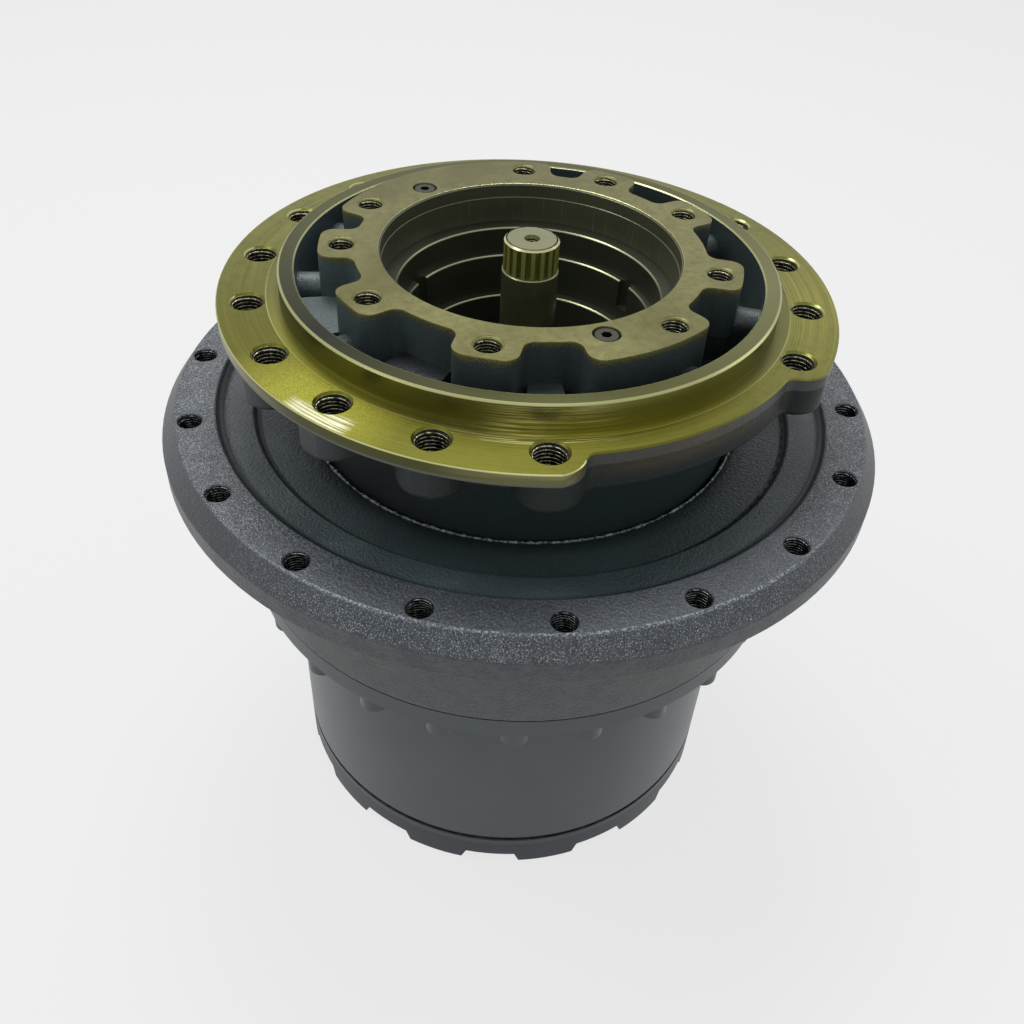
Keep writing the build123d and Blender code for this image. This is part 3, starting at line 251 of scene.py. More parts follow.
def spindle_finish():
    """Turned faces under golden oil, cast faces under dark paint and a dark oily bore, on one casting."""
    material, tree, shader, at = start("spindle_finish")
    wall = other(tree, at.flat)
    cast_grain = at.cloud(0.0017, 3.0, 0.6)
    patch = at.cloud(0.035, 3.0)
    wide = at.cloud(0.08, 2.0)
    rings = at.arcs(0.0007, 7.0, 3.0)
    long_rings = at.arcs(0.0022, 3.0, 2.0)
    scratch = at.arcs(0.0006, 26.0, 2.0)
    film = at.cloud(0.006, 4.0, 0.7)

    # Cast skin under dark paint, darkest in the cavity; under the flange's front it is darkened further as
    # painted shade.
    paint = blend(tree, patch, tone(30, 35, 37), tone(58, 62, 63))
    skin = Layers(tree, paint, 0.44, 0.0)
    cavity = all_of(tree, at.reach(PILOT_BORE_R + 0.0003, PILOT_BORE_R), at.reach(0.0990, 0.0996),
                    at.rise(CAVITY_FLOOR, CAVITY_FLOOR + 0.0002),
                    at.rise(MOTOR_FACE - 0.0002, MOTOR_FACE - 0.0005))
    skin.lay(cavity, blend(tree, patch, tone(44, 54, 54), tone(64, 73, 74)), 0.40)
    # Painted light: the cavity is lighter toward 155 degrees.
    skin.lay(all_of(tree, cavity, at.toward(155.0, 60.0)), tone(78, 92, 94))
    # Painted light on the rib tops toward 163 and 335 degrees, and painted shade on them toward 206 degrees.
    rib_top = all_of(tree, cavity, step_between(tree, at.up, 0.25, 0.8), at.tier(0.4215, 0.436, 0.001))
    rib_painted_light = blend_number(tree, any_of(tree, at.toward(163.0, 24.0), at.toward(335.0, 40.0)), 0.10, 0.75)
    skin.lay(all_of(tree, rib_top, rib_painted_light), blend(tree, film, tone(46, 56, 58), tone(92, 102, 102)), 0.42)
    skin.lay(all_of(tree, rib_top, step_between(tree, at.toward(206.0, 24.0), 0.0, 0.4)), tone(22, 28, 29))

    # Painted shade: the cast skin under the flange's front is darker, darkest just under the flange.
    shade_under_flange = all_of(tree, at.rise(FRAME_RIM_LOW + 0.0002, FRAME_RIM_LOW - 0.0002),
                   step_between(tree, at.toward(262.0, 66.0), 0.0, 0.5))
    shade = blend(tree, at.rise(0.3950, FRAME_LOW), tone(46, 58, 58), tone(30, 37, 35))
    skin.lay(part_of(tree, shade_under_flange, 0.95), shade, 0.46)
    stain = all_of(tree, wall, at.ring(0.1836, 0.1852, 0.0003), at.toward(266.0, 34.0),
                   step_between(tree, calc(tree, "ADD", at.z, part_of(tree, patch, 0.008)), 0.4130, 0.4200))
    skin.lay(stain, blend(tree, film, tone(50, 47, 34), tone(74, 70, 52)), 0.40)

    # Turned faces: the flange, the pilot ring, the rim and the motor face.
    outside = at.reach(PILOT_BORE_R, PILOT_BORE_R + 0.0003)
    ring_and_face = all_of(tree, at.rise(FRAME_FACE - 0.0016, FRAME_FACE - 0.0012), outside)
    motor_face = all_of(tree, at.rise(MOTOR_FACE - 0.0006, MOTOR_FACE - 0.0003), at.reach(0.0960, 0.0962))
    rim = all_of(tree, at.reach(0.1895, 0.1905), at.rise(FRAME_RIM_LOW - 0.0002, FRAME_RIM_LOW + 0.0002),
                 at.rise(FRAME_FACE, FRAME_FACE - 0.0002))
    rim = all_of(tree, rim, step_between(tree, at.toward(300.0, 30.0), 0.5, 0.3))
    rim_patch = step_between(tree, at.arcs(0.004, 12.0, 3.0), 0.38, 0.62)
    turned = any_of(tree, ring_and_face, motor_face, rim)
    gold = blend(tree, wide, tone(92, 91, 42), tone(118, 116, 50))
    gold = blend(tree, step_between(tree, rings, 0.30, 0.90), gold, tone(128, 127, 62))
    gold = blend(tree, part_of(tree, at.specks(0.0010, 0.58, 0.1), 0.5), gold, tone(140, 139, 72))
    gold = blend(tree, all_of(tree, step_between(tree, long_rings, 0.5, 0.85), patch), gold, tone(80, 81, 36))
    gold = blend(tree, part_of(tree, step_between(tree, film, 0.45, 0.75), 0.5), gold, tone(72, 74, 36))
    # Oil film, laid by direction as painted shade: the turned faces are darker and yellower toward 216
    # degrees.
    oil_and_painted_shade = step_between(tree, at.toward(216.0, 85.0), 0.0, 0.45)
    gold = blend(tree, part_of(tree, oil_and_painted_shade, 0.8), gold,
                 blend(tree, at.arcs(0.0011, 9.0, 3.0), tone(70, 69, 10), tone(112, 110, 34)))
    skin.lay(ring_and_face, gold, blend_number(tree, rings, 0.24, 0.40), 0.9)

    face = all_of(tree, at.flat, at.rise(FRAME_FACE + 0.0009, FRAME_FACE + 0.0005), at.reach(0.1627, 0.163))
    # Painted sheen: the turned face is lighter along its rings toward 325 degrees.
    right_painted_sheen = all_of(tree, face, at.toward(325.0, 30.0), step_between(tree, rings, 0.3, 0.7))
    skin.lay(right_painted_sheen, tone(150, 147, 62))
    # Painted sheen: lighter specks on the turned face toward 196 degrees.
    left_painted_sheen = all_of(tree, face, step_between(tree, at.toward(196.0, 19.0), 0.0, 0.7))
    skin.lay(left_painted_sheen, blend(tree, at.specks(0.0009, 0.5, 0.2), tone(126, 124, 26), tone(158, 156, 64)))
    # Painted highlight: near-white streaks along the turning scratches toward 200 degrees, fading inward.
    highlight_streak_side = step_between(tree, at.toward(200.5, 7.0), 0.0, 0.35)
    scratch_highlight = all_of(tree, face, step_between(tree, scratch, 0.44, 0.53), highlight_streak_side,
                    step_between(tree, calc(tree, "ADD", at.radius, part_of(tree, patch, 0.02)),
                                 0.1990, 0.2025))
    skin.lay(scratch_highlight, tone(236, 234, 206), 0.25)
    # Painted highlight: pale streaks along the turning scratches near the pilot ring's foot, toward 236
    # degrees.
    foot_highlight_streaks = all_of(tree, face, at.reach(0.1790, 0.1740), step_between(tree, scratch, 0.56, 0.64),
                          step_between(tree, at.toward(236.0, 18.0), 0.0, 0.6))
    relief = all_of(tree, face, at.reach(0.1712, 0.1709))
    skin.lay(relief, blend(tree, rings, tone(90, 90, 44), tone(120, 119, 62)))
    # Painted light: the relief groove is lighter toward 190 and 254 degrees.
    relief_painted_light = all_of(tree, relief, any_of(tree, at.toward(190.0, 34.0), at.toward(254.0, 40.0)))
    skin.lay(relief_painted_light, tone(146, 143, 54))
    skin.lay(all_of(tree, face, at.ring(0.1706, 0.1713)), tone(160, 160, 104))
    skin.lay(foot_highlight_streaks, tone(216, 212, 160), 0.26)

    pilot_wall = all_of(tree, wall, outside, at.tier(0.4284, 0.4439), at.reach(0.1640, 0.1636))
    skin.lay(pilot_wall, blend(tree, rings, tone(50, 52, 28), tone(76, 77, 40)), 0.34)
    # Painted light: the pilot ring's wall is lighter toward 250 degrees, with painted highlight streaks along
    # its scratches toward 241 degrees.
    skin.lay(all_of(tree, pilot_wall, at.toward(250.0, 75.0)),
             blend(tree, rings, tone(118, 114, 50), tone(158, 154, 82)))
    wall_highlight_streaks = all_of(tree, pilot_wall, step_between(tree, at.toward(241.0, 15.0), 0.0, 0.5),
                         step_between(tree, scratch, 0.48, 0.58))
    skin.lay(wall_highlight_streaks, tone(196, 192, 150), 0.28)
    skin.lay(all_of(tree, pilot_wall, at.tier(0.4284, 0.4292, 0.0001)), tone(136, 138, 92))
    pilot_top = all_of(tree, outside, at.rise(0.4436, 0.4442), at.rise(0.4500, 0.4490))
    skin.lay(pilot_top, blend(tree, rings, tone(62, 63, 34), tone(88, 88, 50)), 0.36)
    # Painted shade on the pilot ring's top toward 185 degrees and painted light on it toward 320 degrees.
    skin.lay(all_of(tree, pilot_top, at.toward(185.0, 60.0)), tone(34, 36, 26))
    skin.lay(all_of(tree, pilot_top, at.toward(320.0, 60.0)), tone(112, 112, 72))
    pilot_edges = all_of(tree, pilot_top, any_of(tree, at.ring(0.1612, 0.1630), at.ring(0.1521, 0.1530)))
    skin.lay(pilot_edges, tone(166, 168, 118), 0.26)

    # The rim's wall: olive film in patches, bare at its lower edge.
    bare = blend(tree, rim_patch, tone(134, 132, 96), tone(102, 100, 60))
    skin.lay(rim, bare, 0.36, 0.7)
    # Painted shade: the rim's wall is darker olive toward 208 degrees.
    skin.lay(all_of(tree, rim, step_between(tree, at.toward(208.0, 26.0), 0.0, 0.5)), tone(72, 74, 36))
    skin.lay(all_of(tree, rim, at.rise(0.4224, 0.4214)), tone(92, 92, 82), 0.42, 0.4)
    # Painted highlight along the rim's top edge.
    skin.lay(all_of(tree, rim, at.rise(0.4279, 0.4283)), tone(186, 184, 122), 0.28, 0.9)

    # The motor face: khaki, with a ragged film at the cast edges.
    khaki = blend(tree, step_between(tree, wide, 0.35, 0.65), tone(90, 87, 48), tone(122, 120, 76))
    khaki = blend(tree, part_of(tree, step_between(tree, film, 0.4, 0.7), 0.6), khaki, tone(80, 76, 40))
    khaki = blend(tree, part_of(tree, at.specks(0.0008, 0.60, 0.1), 0.12), khaki, tone(158, 156, 110))
    skin.lay(motor_face, khaki, blend_number(tree, rings, 0.30, 0.42), 0.85)
    skin.lay(all_of(tree, motor_face, at.reach(0.0989, 0.0986)), tone(184, 184, 124), 0.26)
    depth = at.rise(0.4537, 0.4468)
    thin_out = calc(tree, "SUBTRACT", at.cloud(0.0010, 1.0), part_of(tree, depth, 0.42))
    thin_out = calc(tree, "ADD", thin_out, part_of(tree, at.cloud(0.012, 2.0), 0.32))
    fringe = all_of(tree, cavity, wall, step_between(tree, thin_out, 0.44, 0.52))
    # The fringe's film is painted darker deeper down the cavity walls, as painted shade.
    skin.lay(fringe, blend(tree, depth, tone(112, 110, 58), tone(66, 66, 38)), 0.4, 0.4)

    # The bore: dark khaki above its first ledge, nearly black below, with a bright line at each ledge.
    bore = all_of(tree, at.reach(0.0984, 0.0980), at.rise(MOTOR_FACE - 0.0003, MOTOR_FACE - 0.0006))
    uprights = step_between(tree, at.uprights(0.0012, 0.03), 0.60, 0.72)
    # Painted shade: the bore is darker below its first ledge.
    deep = at.rise(0.426, 0.4255)
    dark = blend(tree, patch, tone(74, 75, 57), tone(98, 99, 77))
    dark = blend(tree, part_of(tree, uprights, 0.35), dark, tone(128, 128, 104))
    dark = blend(tree, deep, dark, blend(tree, patch, tone(50, 54, 43), tone(72, 75, 61)))
    skin.lay(bore, dark, blend_number(tree, rings, 0.26, 0.38), 0.35)
    mouth_line = all_of(tree, at.ring(0.0965, 0.0984), at.tier(0.4440, 0.4446, 0.0001))
    ledges = [all_of(tree, at.ring(r, r + 0.0016), at.tier(z, z + 0.0013)) for r, z in BORE_LEDGES]
    worn_edge = blend(tree, rings, tone(120, 120, 92), tone(176, 175, 140))
    skin.lay(any_of(tree, mouth_line, *ledges), worn_edge, 0.28, 0.9)

    smooth = any_of(tree, turned, bore)
    painted = other(tree, smooth)
    normal = bump(tree, calc(tree, "MULTIPLY", cast_grain, painted), 0.0006, 0.75)
    normal = bump(tree, calc(tree, "MULTIPLY", rings, smooth), 0.00010, 0.45, normal)
    normal = bump(tree, calc(tree, "MULTIPLY", film, motor_face), 0.00010, 0.35, normal)
    join(tree, shader, Base_Color=skin.colour, Roughness=skin.roughness, Metallic=skin.metal, Normal=normal,
         Specular_IOR_Level=blend_number(tree, shade_under_flange, 0.5, 0.2))
    return material


def hub_finish():
    """Black-grey paint over sand-cast skin, with bright worn grains on the raised lands painted as glints by
    direction, and painted light and shade on the dish.
    """
    material, tree, shader, at = start("hub_paint")
    grain = at.cloud(0.0021, 3.0, 0.6)
    patch = at.cloud(0.05, 3.0)
    crowd = part_of(tree, calc(tree, "SUBTRACT", at.cloud(0.012, 2.0), 0.5), 0.10)
    specks = step_between(tree, calc(tree, "ADD", at.cloud(0.0008, 2.0), crowd), 0.54, 0.70)
    fine = at.specks(0.0013, 0.58, 0.08)
    paint = blend(tree, patch, tone(48, 54, 60), tone(66, 72, 78))
    skin = Layers(tree, paint, 0.44, 0.0)
    top = at.rise(0.3190, 0.3200)
    land = all_of(tree, top, at.reach(0.2125, 0.2145))
    front = step_between(tree, at.toward(243.0, 62.0), 0.1, 0.5)
    slope = all_of(tree, land, at.reach(0.2398, 0.2404))
    flat_land = all_of(tree, land, other(tree, slope))
    # Worn grains on the lands, painted as glints by direction: strong on the flat land away from the front
    # and on the slope in front.
    wear_and_glints = any_of(tree, all_of(tree, flat_land, blend_number(tree, front, 1.0, 0.35)),
                  all_of(tree, slope, blend_number(tree, front, 0.15, 0.9)))
    # Painted shade: the slope is darker and smoother away from the front.
    skin.lay(all_of(tree, slope, other(tree, front)), tone(50, 54, 59), 0.40)
    skin.lay(all_of(tree, wear_and_glints, fine), tone(24, 28, 32), 0.5)
    skin.lay(all_of(tree, wear_and_glints, specks), tone(166, 171, 177), 0.34)
    # Painted highlight: light grains along the land's outer edge, in front only.
    edge = all_of(tree, land, at.ring(0.2388, 0.2406, 0.0004), front, at.specks(0.0013, 0.55, 0.1))
    skin.lay(edge, tone(150, 155, 162), 0.34)
    dish = all_of(tree, top, at.reach(0.2130, 0.2120))
    skin.lay(dish, blend(tree, patch, tone(42, 51, 54), tone(62, 71, 74)), 0.40)
    # Painted light: the dish is lighter toward 240 degrees.
    front_dish_painted_light = all_of(tree, dish, at.toward(240.0, 70.0))
    skin.lay(front_dish_painted_light, blend(tree, patch, tone(56, 70, 73), tone(72, 86, 89)))
    # Painted light: the dish has lighter specks toward 325 degrees.
    right_dish_painted_light = all_of(tree, dish, at.toward(325.0, 60.0))
    skin.lay(right_dish_painted_light, blend(tree, specks, tone(72, 80, 82), tone(120, 128, 130)))
    # Painted glints: the dish's specks are lighter, more so away from the front.
    skin.lay(all_of(tree, dish, specks, blend_number(tree, front, 0.9, 0.4)), tone(92, 99, 103))
    # Painted shade in the dish's two step grooves.
    grooves = all_of(tree, dish, any_of(tree, at.ring(0.2070, 0.2130, 0.0012),
                                        at.ring(0.1835, 0.1885, 0.0012)))
    skin.lay(grooves, tone(28, 34, 38), 0.34)
    # Painted shade on the dish's inner lip under the flange.
    lip = all_of(tree, dish, at.reach(0.1650, 0.1560))
    skin.lay(lip, tone(34, 44, 46), 0.42)
    barrel = other(tree, top)
    rim_wall = all_of(tree, top, at.reach(0.2488, 0.2492), at.rise(0.3360, 0.3350))
    skin.lay(rim_wall, blend(tree, specks, tone(52, 57, 62), tone(84, 88, 92)))
    skin.lay(barrel, blend(tree, patch, tone(50, 56, 58), tone(70, 74, 76)), 0.42)
    blotch = step_between(tree, at.cloud(0.011, 4.0, 0.7), 0.42, 0.62)
    outer_wall = any_of(tree, barrel, rim_wall)
    skin.lay(all_of(tree, outer_wall, part_of(tree, blotch, 0.45)), tone(88, 90, 88))
    skin.lay(all_of(tree, barrel, specks), tone(94, 98, 100))
    green = all_of(tree, barrel, step_between(tree, at.cloud(0.03, 4.0, 0.7), 0.56, 0.66))
    skin.lay(part_of(tree, green, 0.5), tone(66, 82, 72))
    foot_line = calc(tree, "ADD", 0.2240, part_of(tree, at.toward(196.0, 26.0), 0.0135))
    above_line = calc(tree, "SUBTRACT", at.z, foot_line)
    wall = at.reach(0.2060, 0.2066)
    foot = all_of(tree, barrel, wall, step_between(tree, above_line, 0.0003, -0.0003))
    skin.lay(foot, blend(tree, patch, tone(84, 90, 92), tone(98, 103, 105)), 0.36)
    # Painted highlight along the edge of the barrel's foot band.
    foot_edge_highlight = all_of(tree, barrel, wall, band(tree, above_line, -0.0004, 0.0006))
    skin.lay(foot_edge_highlight, tone(142, 146, 148), 0.34)
    skin.lay(all_of(tree, barrel, at.rise(0.2256, 0.2250)), tone(116, 120, 122), 0.4)

    smooth = any_of(tree, grooves, foot)
    height = calc(tree, "MULTIPLY", grain, blend_number(tree, smooth, 1.0, 0.25))
    join(tree, shader, Base_Color=skin.colour, Roughness=skin.roughness,
         Normal=bump(tree, height, 0.0009, 0.85))
    return material


def case_finish():
    """Satin dark paint on the turned wall of the gear case, its flange, its screws and the cover."""
    material, tree, shader, at = start("case_paint")
    patch = at.cloud(0.07, 3.0)
    fine = at.cloud(0.0028, 2.0)
    skin = Layers(tree, blend(tree, patch, tone(69, 76, 78), tone(83, 89, 92)), 0.36, 0.0)
    low = at.rise(0.030, 0.024)
    skin.lay(low, blend(tree, patch, tone(42, 46, 54), tone(55, 59, 68)), 0.42)
    # Painted shade: the joint groove between ring gear and cover and the chamfers beside it are dark.
    joint = all_of(tree, at.tier(0.0300, 0.0362, 0.0004), at.reach(0.150, 0.152))
    skin.lay(joint, tone(18, 21, 34), 0.5)
    dust = all_of(tree, at.flat, step_between(tree, at.cloud(0.01, 3.0), 0.4, 0.7))
    skin.lay(part_of(tree, dust, 0.4), tone(110, 112, 110), 0.6)
    height = blend_number(tree, low, part_of(tree, fine, 0.5), at.cloud(0.0018, 3.0))
    join(tree, shader, Base_Color=skin.colour, Roughness=skin.roughness, Specular_IOR_Level=0.3,
         Normal=bump(tree, height, 0.00022, 0.6))
    return material


def shaft_finish():
    """Oily steel: khaki end face with a bright bevel, golden teeth and a brown-black body."""
    material, tree, shader, at = start("shaft_steel")
    patch = at.cloud(0.01, 3.0)
    rings = at.arcs(0.0006, 4.0, 2.0)
    skin = Layers(tree, blend(tree, patch, tone(66, 67, 47), tone(90, 90, 64)), 0.32, 0.45)
    spline = at.tier(0.4391, 0.4587, 0.0003)
    flank = at.reach(0.0170, 0.0180)
    skin.lay(spline, blend(tree, flank, tone(92, 95, 36), tone(150, 150, 84)), 0.28)
    skin.lay(at.tier(0.4383, 0.4391, 0.0002), tone(140, 140, 104), 0.26)
    end = at.rise(0.4597, 0.4599)
    skin.lay(end, blend(tree, rings, tone(108, 108, 78), tone(130, 129, 98)), 0.36)
    bevel = all_of(tree, at.tier(0.4587, 0.4598, 0.0001), at.reach(0.0150, 0.0156))
    skin.lay(bevel, tone(186, 186, 140), 0.24)
    join(tree, shader, Base_Color=skin.colour, Roughness=skin.roughness, Metallic=skin.metal,
         Normal=bump(tree, rings, 0.00005, 0.4))
    return material


def steel_finish(name, colour, roughness):
    """Turned or ground steel with fine rings."""
    material, tree, shader, at = start(name)
    darker = tuple(c * 0.7 for c in colour[:3]) + (1.0,)
    rings = at.arcs(0.0012, 4.0)
    join(tree, shader, Base_Color=blend(tree, at.cloud(0.02, 3.0), darker, colour), Metallic=1.0,
         Roughness=blend_number(tree, rings, roughness * 0.8, roughness * 1.2),
         Normal=bump(tree, rings, 0.00008, 0.4))
    return material


def thread_finish(name, flank, crest_wear_and_glint):
    """Oiled thread: dark flanks and bright patches of worn metal painted as glints."""
    material, tree, shader, at = start(name)
    wear_and_glints = step_between(tree, at.cloud(0.003, 2.0), 0.38, 0.62)
    join(tree, shader, Base_Color=blend(tree, wear_and_glints, flank, crest_wear_and_glint), Metallic=0.95,
         Roughness=blend_number(tree, wear_and_glints, 0.40, 0.22), Normal=bump(tree, at.cloud(0.0006), 0.00005, 0.4))
    return material


def bead_finish():
    """The light rough skin along the hub's inner lip."""
    material, tree, shader, at = start("lip_bead")
    dots = step_between(tree, at.cloud(0.0026, 3.0, 0.7), 0.44, 0.58)
    join(tree, shader, Base_Color=blend(tree, dots, tone(40, 48, 50), tone(160, 166, 168)), Roughness=0.5,
         Normal=bump(tree, at.cloud(0.001), 0.0003, 0.7))
    return material


def rubber_finish():
    """Dull black rubber."""
    material, tree, shader, at = start("seal_rubber")
    bloom = blend(tree, at.cloud(0.01, 3.0), tone(26, 26, 27), tone(38, 38, 40))
    join(tree, shader, Base_Color=bloom, Roughness=0.6, Normal=bump(tree, at.cloud(0.0008), 0.00005))
    return material


def dress(material, *names):
    """Gives a finish to nodes of the gearbox."""
    for name in names:
        slots = NODES[name].data.materials
        slots.clear()
        slots.append(material)


def named(*words):
    """The nodes of the gearbox with one of these words in their names."""
    return [name for name in NODES if any(word in name for word in words)]


def piece(name, bm, finish, body):
    """An object at the origin from a finished bmesh, riding on a body of the gearbox."""
    bmesh.ops.recalc_face_normals(bm, faces=bm.faces)
    mesh = bpy.data.meshes.new(name)
    bm.to_mesh(mesh)
    bm.free()
    mesh.materials.append(finish)
    made = bpy.data.objects.new(name, mesh)
    bpy.context.scene.collection.objects.link(made)
    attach(made, body)
    return made


def round_the_axis(reach, angles):
    """Places at one distance from the axis."""
    return [(reach * cos(radians(a)), reach * sin(radians(a))) for a in angles]


def threads(name, places, thread, low, high, finish, body):
    """The ridge of a right-hand thread in each of a row of equal holes, from low to high."""
    wall_r, crest_r, pitch = thread
    steps = 20
    half = 0.44 * pitch
    turns = (high - low - 2 * half) / pitch
    bm = bmesh.new()
    corners = [bm.verts.new(v) for v in ((wall_r + 0.00005, 0.0, low), (crest_r, 0.0, low + half),
                                         (wall_r + 0.00005, 0.0, low + 2 * half))]
    ridge = bm.faces.new(corners)
    bmesh.ops.spin(bm, geom=[ridge] + ridge.edges[:] + ridge.verts[:], cent=(0, 0, 0), axis=(0, 0, 1),
                   dvec=(0, 0, pitch / steps), angle=tau * turns, steps=round(steps * turns),
                   use_merge=False, use_duplicate=False)
    first = bm.verts[:] + bm.edges[:] + bm.faces[:]
    for x, y in places[1:]:
        copy = bmesh.ops.duplicate(bm, geom=first)["geom"]
        verts = [v for v in copy if isinstance(v, bmesh.types.BMVert)]
        bmesh.ops.translate(bm, verts=verts, vec=(x, y, 0))
    x, y = places[0]
    bmesh.ops.translate(bm, verts=[v for v in first if isinstance(v, bmesh.types.BMVert)], vec=(x, y, 0))
    for face in bm.faces:
        face.smooth = True
    return piece(name, bm, finish, body)


def lip_bead(name, reach, height, thick, finish, body):
    """A thin uneven bead of skin along a round edge."""
    bm = bmesh.new()
    bmesh.ops.create_circle(bm, segments=8, radius=thick, cap_ends=False)
    bmesh.ops.rotate(bm, verts=bm.verts, matrix=Matrix.Rotation(pi / 2, 3, "X"))
    bmesh.ops.translate(bm, verts=bm.verts, vec=(reach, 0, height))
    bmesh.ops.spin(bm, geom=bm.edges[:] + bm.verts[:], cent=(0, 0, 0), axis=(0, 0, 1), angle=tau, steps=720,
                   use_merge=True)
    bmesh.ops.remove_doubles(bm, verts=bm.verts, dist=0.00001)
    for vert in bm.verts:
        flat = Vector((vert.co.x, vert.co.y, 0)).normalized() * reach
        middle = Vector((flat.x, flat.y, height))
        swell = 0.85 + 0.95 * cloud_noise.noise(middle * 260.0) + 0.45 * cloud_noise.noise(vert.co * 1100.0)
        swell = max(swell, 0.2)
        vert.co = middle + (vert.co - middle) * swell
    for face in bm.faces:
        face.smooth = True
    return piece(name, bm, finish, body)


def shaft_bevel(name, finish, body):
    """The bevelled end above the spline's teeth, which runs round unbroken."""
    bm = bmesh.new()
    corners = [bm.verts.new(v) for v in ((0.0160, 0, SHAFT_TOP - 0.0013), (0.0181, 0, SHAFT_TOP - 0.0013),
                                         (SHAFT_END_R, 0, SHAFT_TOP), (0.0160, 0, SHAFT_TOP))]
    loop = bm.faces.new(corners)
    outline = loop.edges[:] + loop.verts[:]
    bmesh.ops.delete(bm, geom=[loop], context="FACES_ONLY")
    bmesh.ops.spin(bm, geom=outline, cent=(0, 0, 0), axis=(0, 0, 1), angle=tau, steps=96, use_merge=True)
    bmesh.ops.remove_doubles(bm, verts=bm.verts, dist=0.000001)
    return piece(name, bm, finish, body)


def photo_camera():
    """The camera at the photograph's place: 41 degrees above the gearbox, in front and to the left."""
    forward = Vector(CAMERA_WAY).normalized()
    level = forward.cross(Vector((0, 0, 1))).normalized()
    upward = level.cross(forward)
    roll = radians(CAMERA_ROLL)
    right = level * cos(roll) + upward * sin(roll)
    top = upward * cos(roll) - level * sin(roll)
    data = bpy.data.cameras.new("photo_camera")
    data.lens = LENS
    data.sensor_width = 36.0
    camera = bpy.data.objects.new("photo_camera", data)
    bpy.context.scene.collection.objects.link(camera)
    turn = Matrix((right, top, -forward)).transposed().to_4x4()
    camera.matrix_world = Matrix.Translation(CAMERA_PLACE) @ turn
    bpy.context.scene.camera = camera


def seen_directly(tree):
    """1 for light paths from the camera, by way of gloss or glass too."""
    path = tree.nodes.new("ShaderNodeLightPath")
    return any_of(tree, path.outputs["Is Camera Ray"], path.outputs["Is Glossy Ray"],
                  path.outputs["Is Transmission Ray"])


def floor():
    """A wide pale floor that keeps a faint shadow."""
    bm = bmesh.new()
    bmesh.ops.create_grid(bm, x_segments=2, y_segments=2, size=15.0)
    mesh = bpy.data.meshes.new("floor")
    bm.to_mesh(mesh)
    bm.free()
    ground = bpy.data.objects.new("floor", mesh)
    bpy.context.scene.collection.objects.link(ground)
    material, tree, shader, at = start("floor_paper")
    join(tree, shader, Base_Color=(0.80, 0.80, 0.80, 1.0), Roughness=0.9)
    glow = tree.nodes.new("ShaderNodeEmission")
    glow.inputs["Color"].default_value = PALE
    mixed = tree.nodes.new("ShaderNodeMixShader")
    tree.links.new(part_of(tree, seen_directly(tree), 0.86), mixed.inputs[0])
    tree.links.new(shader.outputs[0], mixed.inputs[1])
    tree.links.new(glow.outputs[0], mixed.inputs[2])
    tree.links.new(mixed.outputs[0], tree.nodes["Material Output"].inputs[0])
    mesh.materials.append(material)


def soft_lamp(name, place, aim, size, watts):
    """A square soft lamp at a place that looks at another."""
    data = bpy.data.lights.new(name, "AREA")
    data.size = size
    data.energy = watts
    lamp = bpy.data.objects.new(name, data)
    bpy.context.scene.collection.objects.link(lamp)
    way = Vector(aim) - Vector(place)
    lamp.matrix_world = Matrix.Translation(place) @ way.to_track_quat("-Z", "Y").to_matrix().to_4x4()


def studio():
    """Plain soft light: a pale room, a wide lamp behind and above, weaker ones at the sides and in front."""
    world = bpy.data.worlds.new("pale_room")
    bpy.context.scene.world = world
    world.use_nodes = True
    tree = world.node_tree
    background = tree.nodes["Background"]
    room = blend(tree, seen_directly(tree), (0.38, 0.39, 0.40, 1.0), PALE)
    tree.links.new(room, background.inputs["Color"])
    middle = (0.0, 0.0, 0.3)
    soft_lamp("back_lamp", (0.45, 1.0, 2.9), middle, 1.3, 50.0)
    soft_lamp("left_lamp", (-1.3, 0.8, 2.6), middle, 1.0, 22.0)
    soft_lamp("right_lamp", (1.9, -0.6, 1.2), middle, 1.0, 3.0)
    soft_lamp("front_lamp", (-0.9, -1.9, 1.8), middle, 1.5, 4.0)
    bpy.context.scene.view_settings.view_transform = "Standard"


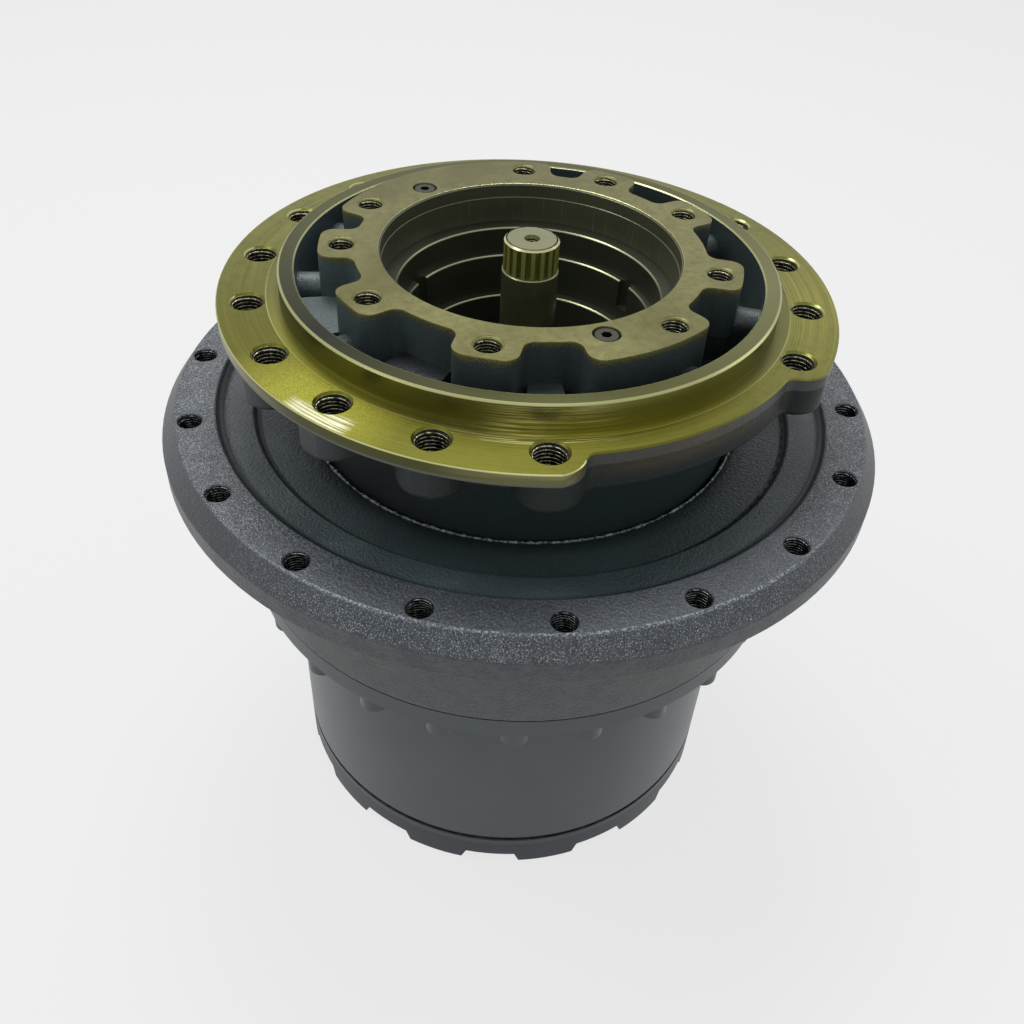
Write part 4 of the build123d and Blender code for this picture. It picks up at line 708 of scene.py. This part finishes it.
photo_camera()
floor()
studio()

dress(spindle_finish(), "spindle")
dress(hub_finish(), "hub")
dress(case_finish(), "ring_gear", "cover", "ring_gear_bolts", "cover_bolts", "oil_plugs")
dress(steel_finish("black_plugs", tone(70, 70, 62), 0.45), "face_plugs")
shaft_steel = shaft_finish()
dress(shaft_steel, "input_shaft")
dress(steel_finish("ground_steel", (0.55, 0.54, 0.50, 1.0), 0.28),
      *named("bearing_inner", "bearing_outer", "balls", "nut", "pins", "locks", "rollers", "seal_ring",
             "dowels", "snap_ring"))
dress(steel_finish("bronze", (0.55, 0.38, 0.16, 1.0), 0.35), *named("washers", "thrust", "cage"))
dress(steel_finish("gear_steel", (0.36, 0.34, 0.30, 1.0), 0.35),
      *named("planet_1", "planet_2", "planet_3", "second_sun_gear"))
dress(steel_finish("carrier_iron", (0.10, 0.10, 0.10, 1.0), 0.5), "first_carrier", "second_carrier")
dress(rubber_finish(), "fixed_seal_oring", "turning_seal_oring", "cover_oring")

thread_steel = thread_finish("thread_steel", tone(60, 60, 50), tone(160, 158, 132))
hub_thread_steel = thread_finish("hub_thread_steel", tone(34, 37, 38), tone(122, 126, 126))
threads("frame_threads", round_the_axis(FRAME_PCD_R, FRAME_HOLES), M20,
        FRAME_LOW + 0.0003, FRAME_FACE - 0.0016, thread_steel, "spindle_group")
threads("motor_face_threads", round_the_axis(MOTOR_PCD_R, MOTOR_HOLES), M16,
        MOTOR_FACE - 0.030, MOTOR_FACE - 0.0016, thread_steel, "spindle_group")
threads("sprocket_threads", round_the_axis(SPROCKET_PCD_R, SPROCKET_HOLES), M16,
        HUB_UNDER + 0.0003, HUB_TOP - 0.0009, hub_thread_steel, "hub_group")
threads("shaft_centre_thread", [(0.0, 0.0)], M8,
        SHAFT_TOP - 0.0219, SHAFT_TOP - 0.0023, thread_steel, "input_shaft")
shaft_bevel("shaft_bevel", shaft_steel, "input_shaft")
lip_bead("hub_lip_bead", 0.1519, 0.3341, 0.0010, bead_finish(), "hub_group")
